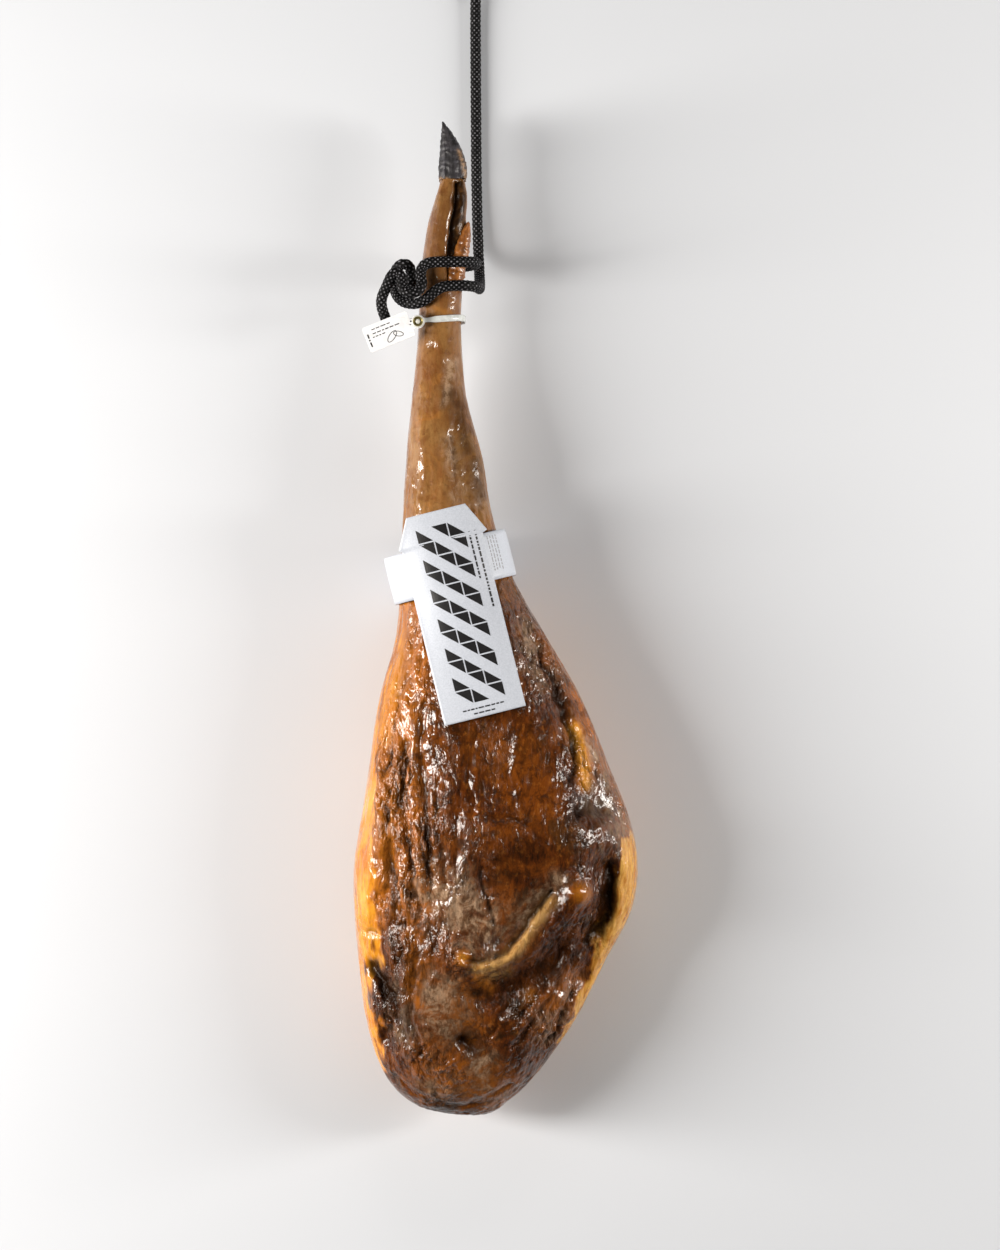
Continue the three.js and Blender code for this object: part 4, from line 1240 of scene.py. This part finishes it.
def shape_ham(mesh):
    """Moves the vertices into creases, fibres and lumps, and stores what each place is made of and where
    shade and sheen are painted.
    """
    co, no = vertex_vectors(mesh, "co"), vertex_vectors(mesh, "normal")
    x, y, z = (co / MM).T
    up = no[:, 2]
    left, right, under, skin = ham_zones(x, y, up, fractal(x / 9, y / 26, z / 9, 3))
    rind = np.maximum(np.maximum(left, right), under)
    facing = ramp(0.0, 0.5, up)
    meat = np.clip(1 - np.maximum(rind, skin), 0, 1)
    calm = 1 - patches(x, y, CALM)

    wander = 3.0 * fractal(x / 16, y / 16, z / 16, 2)
    drift = 3.0 * fractal(x / 16 + 31, y / 16, z / 16, 2)
    wx, wy = x + wander, y + drift
    cut = carve(wx, wy, GROOVES, -1) + carve(wx, wy, RIDGES, 1)
    for depth, radius, place in DENTS:
        cut -= depth * bell(path_distance(x, y, [place]), radius)
    cut *= facing * 0.85
    cut -= 4.5 * bell(z - TOES_PART_AT, 2.4) * ramp(285, 335, y) * (1 - np.abs(no[:, 1]))

    strength = 0.35 + 1.0 * ramp(-0.5, 0.6, fractal(x / 24 + 7, y / 36, z / 24, 3))
    strength *= 1 + 0.8 * patches(x, y, FOLDED)
    ropes = along_fibres(wx, wy, z, ridged, 14.0, 48.0) - 1.1
    wrinkles = along_fibres(wx + 90, wy, z, ridged, 5.5, 15.0) - 1.1
    creases = along_fibres(wx * 1.3, wy, z, cell_edges, 11.0, 30.0)
    crease = bell(creases, 0.13)
    pebble = fractal(x / 3.4, y / 4.2, z / 3.4, 3)
    relief = meat * calm * strength * (0.4 * pebble - 0.9 * ropes - 0.65 * wrinkles - 0.9 * crease)
    relief += skin * (0.35 * fractal(x / 9, y / 26, z / 9, 3) + 0.14 * pebble)
    swells = 0.8 * fractal(x / 16, y / 30, z / 16, 3) + 0.6 * fractal(x / 5, y / 20, z / 5, 3)
    relief += rind * (swells + 0.2 * pebble)
    cords = along_fibres(wx + 40, wy, z, ridged, 6.5, 60.0) - 1.1
    relief -= skin * (1.1 * cords + 0.4 * wrinkles) * ramp(180, 80, y)

    total = cut + relief * (0.35 + 0.65 * facing)
    total = np.clip(total, -16, 4) - 0.4
    co += no * (total * MM * ramp(4.0, 9.0, z))[:, None]
    end = co[:, 1].max()
    co[:, 1] += (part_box("ham")[1].y - end) * ramp(end - 0.012, end - 0.001, co[:, 1])
    co[:, 2] = np.clip(co[:, 2], 0, under_label(x, y) * MM)
    mesh.vertices.foreach_set("co", co.ravel())
    mesh.update()

    lively = 0.55 * calm * strength * (1 - 0.5 * rind) * (1 - 0.72 * skin)
    fat = np.clip(np.maximum(rind, patches(x, y, FATTY) * facing), 0, 1)
    set_attribute(mesh, "fat", fat)
    set_attribute(mesh, "pale", right)
    set_attribute(mesh, "skin", skin)
    set_attribute(mesh, "amber", patches(wx, wy, AMBER))
    set_attribute(mesh, "grey_bloom_and_sheen", patches(wx, wy, GREY_BLOOM_AND_SHEEN) * facing)
    set_attribute(mesh, "dark_stain_and_shade", patches(wx, wy, DARK_STAINS_AND_SHADE) * facing)
    set_attribute(mesh, "bone", patches(x, y, BONE) * facing)
    set_attribute(mesh, "wet", patches(wx, wy, WET))
    set_attribute(mesh, "lively", np.clip(lively, 0.1, 1))
    # Depth in the relief, which darkens the colour as painted shade and thins the coat
    set_attribute(mesh, "hollow", np.clip(-(cut * 0.4 + relief * 0.8) / 2.2, -1, 1))


def ham_material():
    ham = Finish("cured_meat_and_rind", specular=0.08, coat_roughness=0.1)
    fat, pale, skin = ham.attribute("fat"), ham.attribute("pale"), ham.attribute("skin")
    amber, grey_bloom_and_sheen, dark_stain_and_shade = ham.attribute("amber"), ham.attribute("grey_bloom_and_sheen"), ham.attribute("dark_stain_and_shade")
    bone, hollow, wet = ham.attribute("bone"), ham.attribute("hollow"), ham.attribute("wet")
    lively = ham.attribute("lively")

    fibres = ham.noise(60.0, 5.0, 0.66, ham.stretched((5.0, 1.1, 3.0)), 0.5)
    clouds = ham.noise(24.0, 4.0, 0.6, distortion=0.6)
    moss = ham.noise(38.0, 5.0, 0.65, distortion=1.0)
    blots = ham.noise(62.0, 6.0, 0.7, distortion=0.8)
    flecks = ham.noise(170.0, 5.0, 0.7, ham.stretched((1.3, 0.8, 1.3)))
    specks = ham.noise(380.0, 4.0, 0.65)
    drawn = ham.stretched((1.5, 0.7, 1.5))
    puffed = ham.puffs(80.0, 3.0, drawn)
    crinkles = ham.span(ham.cells(190.0, ham.warped(drawn, 110.0, 0.005)), 0.0, 0.35)

    meat = ham.mix(ham.span(fibres, 0.34, 0.66), srgb(46, 18, 2), srgb(88, 40, 6))
    meat = ham.mix(ham.span(clouds, 0.42, 0.64, 0.0, 0.8), meat, srgb(114, 58, 11))
    meat = ham.mix(ham.span(moss, 0.54, 0.66, 0.0, 0.6), meat, srgb(52, 36, 14))
    meat = ham.mix(ham.span(blots, 0.5, 0.64, 0.0, 0.75), meat, srgb(34, 15, 3))
    meat = ham.mix(ham.span(flecks, 0.52, 0.66, 0.0, 0.6), meat, srgb(26, 11, 2))
    meat = ham.mix(ham.span(flecks, 0.46, 0.34, 0.0, 0.35), meat, srgb(156, 94, 36))
    meat = ham.mix(ham.math("MULTIPLY", amber, ham.span(blots, 0.6, 0.4, 0.3, 1.0)), meat, srgb(178, 102, 26))

    streaks = ham.noise(75.0, 4.0, 0.65, ham.stretched((2.2, 0.45, 2.2)), 0.8)
    shank = ham.mix(ham.span(clouds, 0.25, 0.75), srgb(118, 76, 36), srgb(150, 110, 62))
    shank = ham.mix(ham.span(blots, 0.48, 0.66, 0.0, 0.5), shank, srgb(96, 54, 22))
    shank = ham.mix(ham.span(moss, 0.5, 0.7, 0.0, 0.5), shank, srgb(170, 112, 48))
    shank = ham.mix(ham.span(streaks, 0.35, 0.8, 0.0, 0.5), shank, srgb(116, 58, 18))
    shank = ham.mix(ham.span(flecks, 0.5, 0.7, 0.0, 0.4), shank, srgb(92, 52, 22))

    fatty = ham.mix(ham.span(clouds, 0.3, 0.7), srgb(192, 112, 14), srgb(222, 154, 44))
    fatty = ham.mix(ham.span(streaks, 0.48, 0.7, 0.0, 0.75), fatty, srgb(150, 78, 16))
    cream = ham.mix(ham.span(streaks, 0.35, 0.7), srgb(216, 164, 80), srgb(172, 106, 30))
    fatty = ham.mix(ham.math("MULTIPLY", amber, 0.7), fatty, srgb(190, 120, 34))
    fatty = ham.mix(pale, fatty, cream)
    fatty = ham.mix(ham.span(fat, 0.99, 0.5, 0.0, 0.7), fatty, srgb(128, 64, 14))

    base = ham.mix(skin, meat, shank)
    base = ham.mix(ham.span(fat, 0.1, 0.7), base, fatty)
    # Pale grey-brown where the grey patches lie: partly real bloom, partly painted sheen
    ash_and_sheen = ham.mix(ham.span(blots, 0.35, 0.65), srgb(104, 76, 50), srgb(184, 154, 124))
    ash_and_sheen = ham.mix(ham.span(flecks, 0.45, 0.6, 0.0, 0.7), ash_and_sheen, srgb(84, 56, 32))
    bloom_and_sheen = ham.math("MULTIPLY", grey_bloom_and_sheen, ham.span(blots, 0.36, 0.58, 0.1, 0.8), True)
    base = ham.mix(bloom_and_sheen, base, ash_and_sheen)
    base = ham.mix(bone, base, ham.mix(ham.span(fibres, 0.35, 0.7), srgb(196, 152, 90), srgb(150, 104, 50)))
    # Painted shade and real stains: near black where the dark patches lie
    stain_and_shade = ham.math("MULTIPLY", dark_stain_and_shade, ham.span(blots, 0.3, 0.55, 0.5, 1.0), True)
    base = ham.mix(stain_and_shade, base, srgb(20, 11, 5))
    # Painted shade: the deeper a place lies in the relief, the darker it is painted
    base = ham.mix(ham.span(hollow, 0.05, 0.85, 0.0, 0.85), base, srgb(24, 10, 2))
    base = ham.mix(ham.span(specks, 0.56, 0.75, 0.0, 0.4), base, srgb(50, 25, 8))
    # Painted shade: the thin winding creases of the bump are painted darker, less so on fat, skin and grey
    # patches
    plain = ham.math("MAXIMUM", ham.math("MAXIMUM", fat, skin), ham.math("MULTIPLY", grey_bloom_and_sheen, 0.6))
    painted_crease_shade = ham.math("MULTIPLY", ham.span(puffed, 0.0, 0.5, 0.4, 0.0), ham.span(plain, 0.0, 0.8, 1.0, 0.15))
    ham.colour(ham.mix(painted_crease_shade, base, srgb(38, 17, 4)))

    dull = ham.math("MAXIMUM", ham.math("MULTIPLY", grey_bloom_and_sheen, 0.9), ham.math("MULTIPLY", skin, 0.4))
    dull = ham.math("MAXIMUM", dull, ham.span(blots, 0.52, 0.7, 0.0, 0.5))
    ham.set("Roughness", ham.math("ADD", ham.math("MULTIPLY", dull, 0.3), 0.2))
    film = ham.math("MULTIPLY", ham.span(wet, 0.0, 0.8, 0.6, 1.0), ham.span(blots, 0.66, 0.46, 0.4, 1.0))
    film = ham.math("MULTIPLY", film, ham.span(dark_stain_and_shade, 0.2, 0.9, 1.0, 0.2))
    ham.set("Coat Weight", ham.math("MULTIPLY", film, ham.span(hollow, 0.1, 0.8, 1.0, 0.25)))

    strands = ham.noise(62.0, 1.5, 0.4, ham.stretched((2.2, 0.7, 2.2)), 0.6)
    puckers = ham.noise(230.0, 1.0, 0.5, ham.stretched((1.3, 0.8, 1.3)))
    folds = ham.bump(ham.math("MULTIPLY", strands, lively), 0.0038, 0.8)
    folds = ham.bump(ham.math("MULTIPLY", puffed, lively), 0.0012, 0.8, folds)
    folds = ham.bump(ham.math("MULTIPLY", crinkles, lively), 0.0003, 0.7, folds)
    folds = ham.bump(ham.math("MULTIPLY", puckers, lively), 0.0012, 0.7, folds)
    ham.set("Coat Normal", folds)
    grain = ham.math("ADD", fibres, flecks)
    grain = ham.math("MULTIPLY", grain, ham.span(lively, 0.1, 0.5, 0.25, 1.0))
    ham.set("Normal", ham.bump(grain, 0.0016, 0.7, folds))
    return ham.material


def add_ham():
    bm = remeshed(node_bmesh("ham"), COARSE_VOXEL)
    smoothed(bm, SMOOTH_ROUNDS)
    bm.normal_update()
    shown = [edge for edge in bm.edges if all(vert.normal.z > -0.12 for vert in edge.verts)]
    bmesh.ops.subdivide_edges(bm, edges=shown, cuts=1, use_grid_fill=True, smooth=0.0)
    smoothed(bm, 2)
    bm.normal_update()
    piece = from_bmesh("cured_ham", bm)
    shape_ham(piece.data)
    return finish_piece(piece, ham_material(), "ham", "ham")


# Floor, light and surroundings

def add_floor():
    bm = bmesh.new()
    bmesh.ops.create_grid(bm, x_segments=1, y_segments=1, size=6)
    bmesh.ops.translate(bm, vec=(0, 0, -0.0003), verts=bm.verts)
    floor = from_bmesh("floor", bm, smooth=False)
    paint = Finish("pale_floor", roughness=0.7, specular=0.3)
    paint.colour(srgb(206, 210, 216))
    floor.data.materials.append(paint.material)


LIGHT_COLOUR = (1.0, 0.95, 0.89)
WORLD_COLOUR = (1.0, 0.95, 0.9, 1)
WORLD_STRENGTH = 0.08

# Name, place, aim, size and power of each
SOFTBOXES = [
    ("left_softbox", (-1.75, -0.05, 1.0), (0, -0.1, 0.06), (0.42, 1.7), 81),
    ("right_softbox", (1.7, 0.1, 0.72), (0, -0.1, 0.06), (0.24, 1.4), 38),
    ("far_softbox", (0.2, 2.4, 1.9), (0, 0, 0.06), (1.2, 0.6), 9),
]


def add_light(name, place, aim, size, power):
    data = bpy.data.lights.new(name, "AREA")
    data.shape = "RECTANGLE"
    data.size, data.size_y = size
    data.color = LIGHT_COLOUR
    data.energy = power
    light = bpy.data.objects.new(name, data)
    light.location = place
    light.rotation_euler = (Vector(aim) - Vector(place)).to_track_quat("-Z", "Y").to_euler()
    bpy.context.scene.collection.objects.link(light)


def add_surroundings():
    world = bpy.data.worlds.new("studio")
    world.use_nodes = True
    background = world.node_tree.nodes["Background"]
    background.inputs["Color"].default_value = WORLD_COLOUR
    background.inputs["Strength"].default_value = WORLD_STRENGTH
    bpy.context.scene.world = world
    bpy.context.scene.view_settings.view_transform = "Standard"
    for name, place, aim, size, power in SOFTBOXES:
        add_light(name, place, aim, size, power)


add_label()
add_seal()
horn = horn_material()
for hoof in ("hoof_inner", "hoof_outer"):
    add_hoof(hoof, horn)
claw_finish = claw_material()
for claw, claw_level in DEWCLAW_LEVELS.items():
    add_dewclaw(claw, claw_level, claw_finish)
add_ham()
add_floor()
add_surroundings()
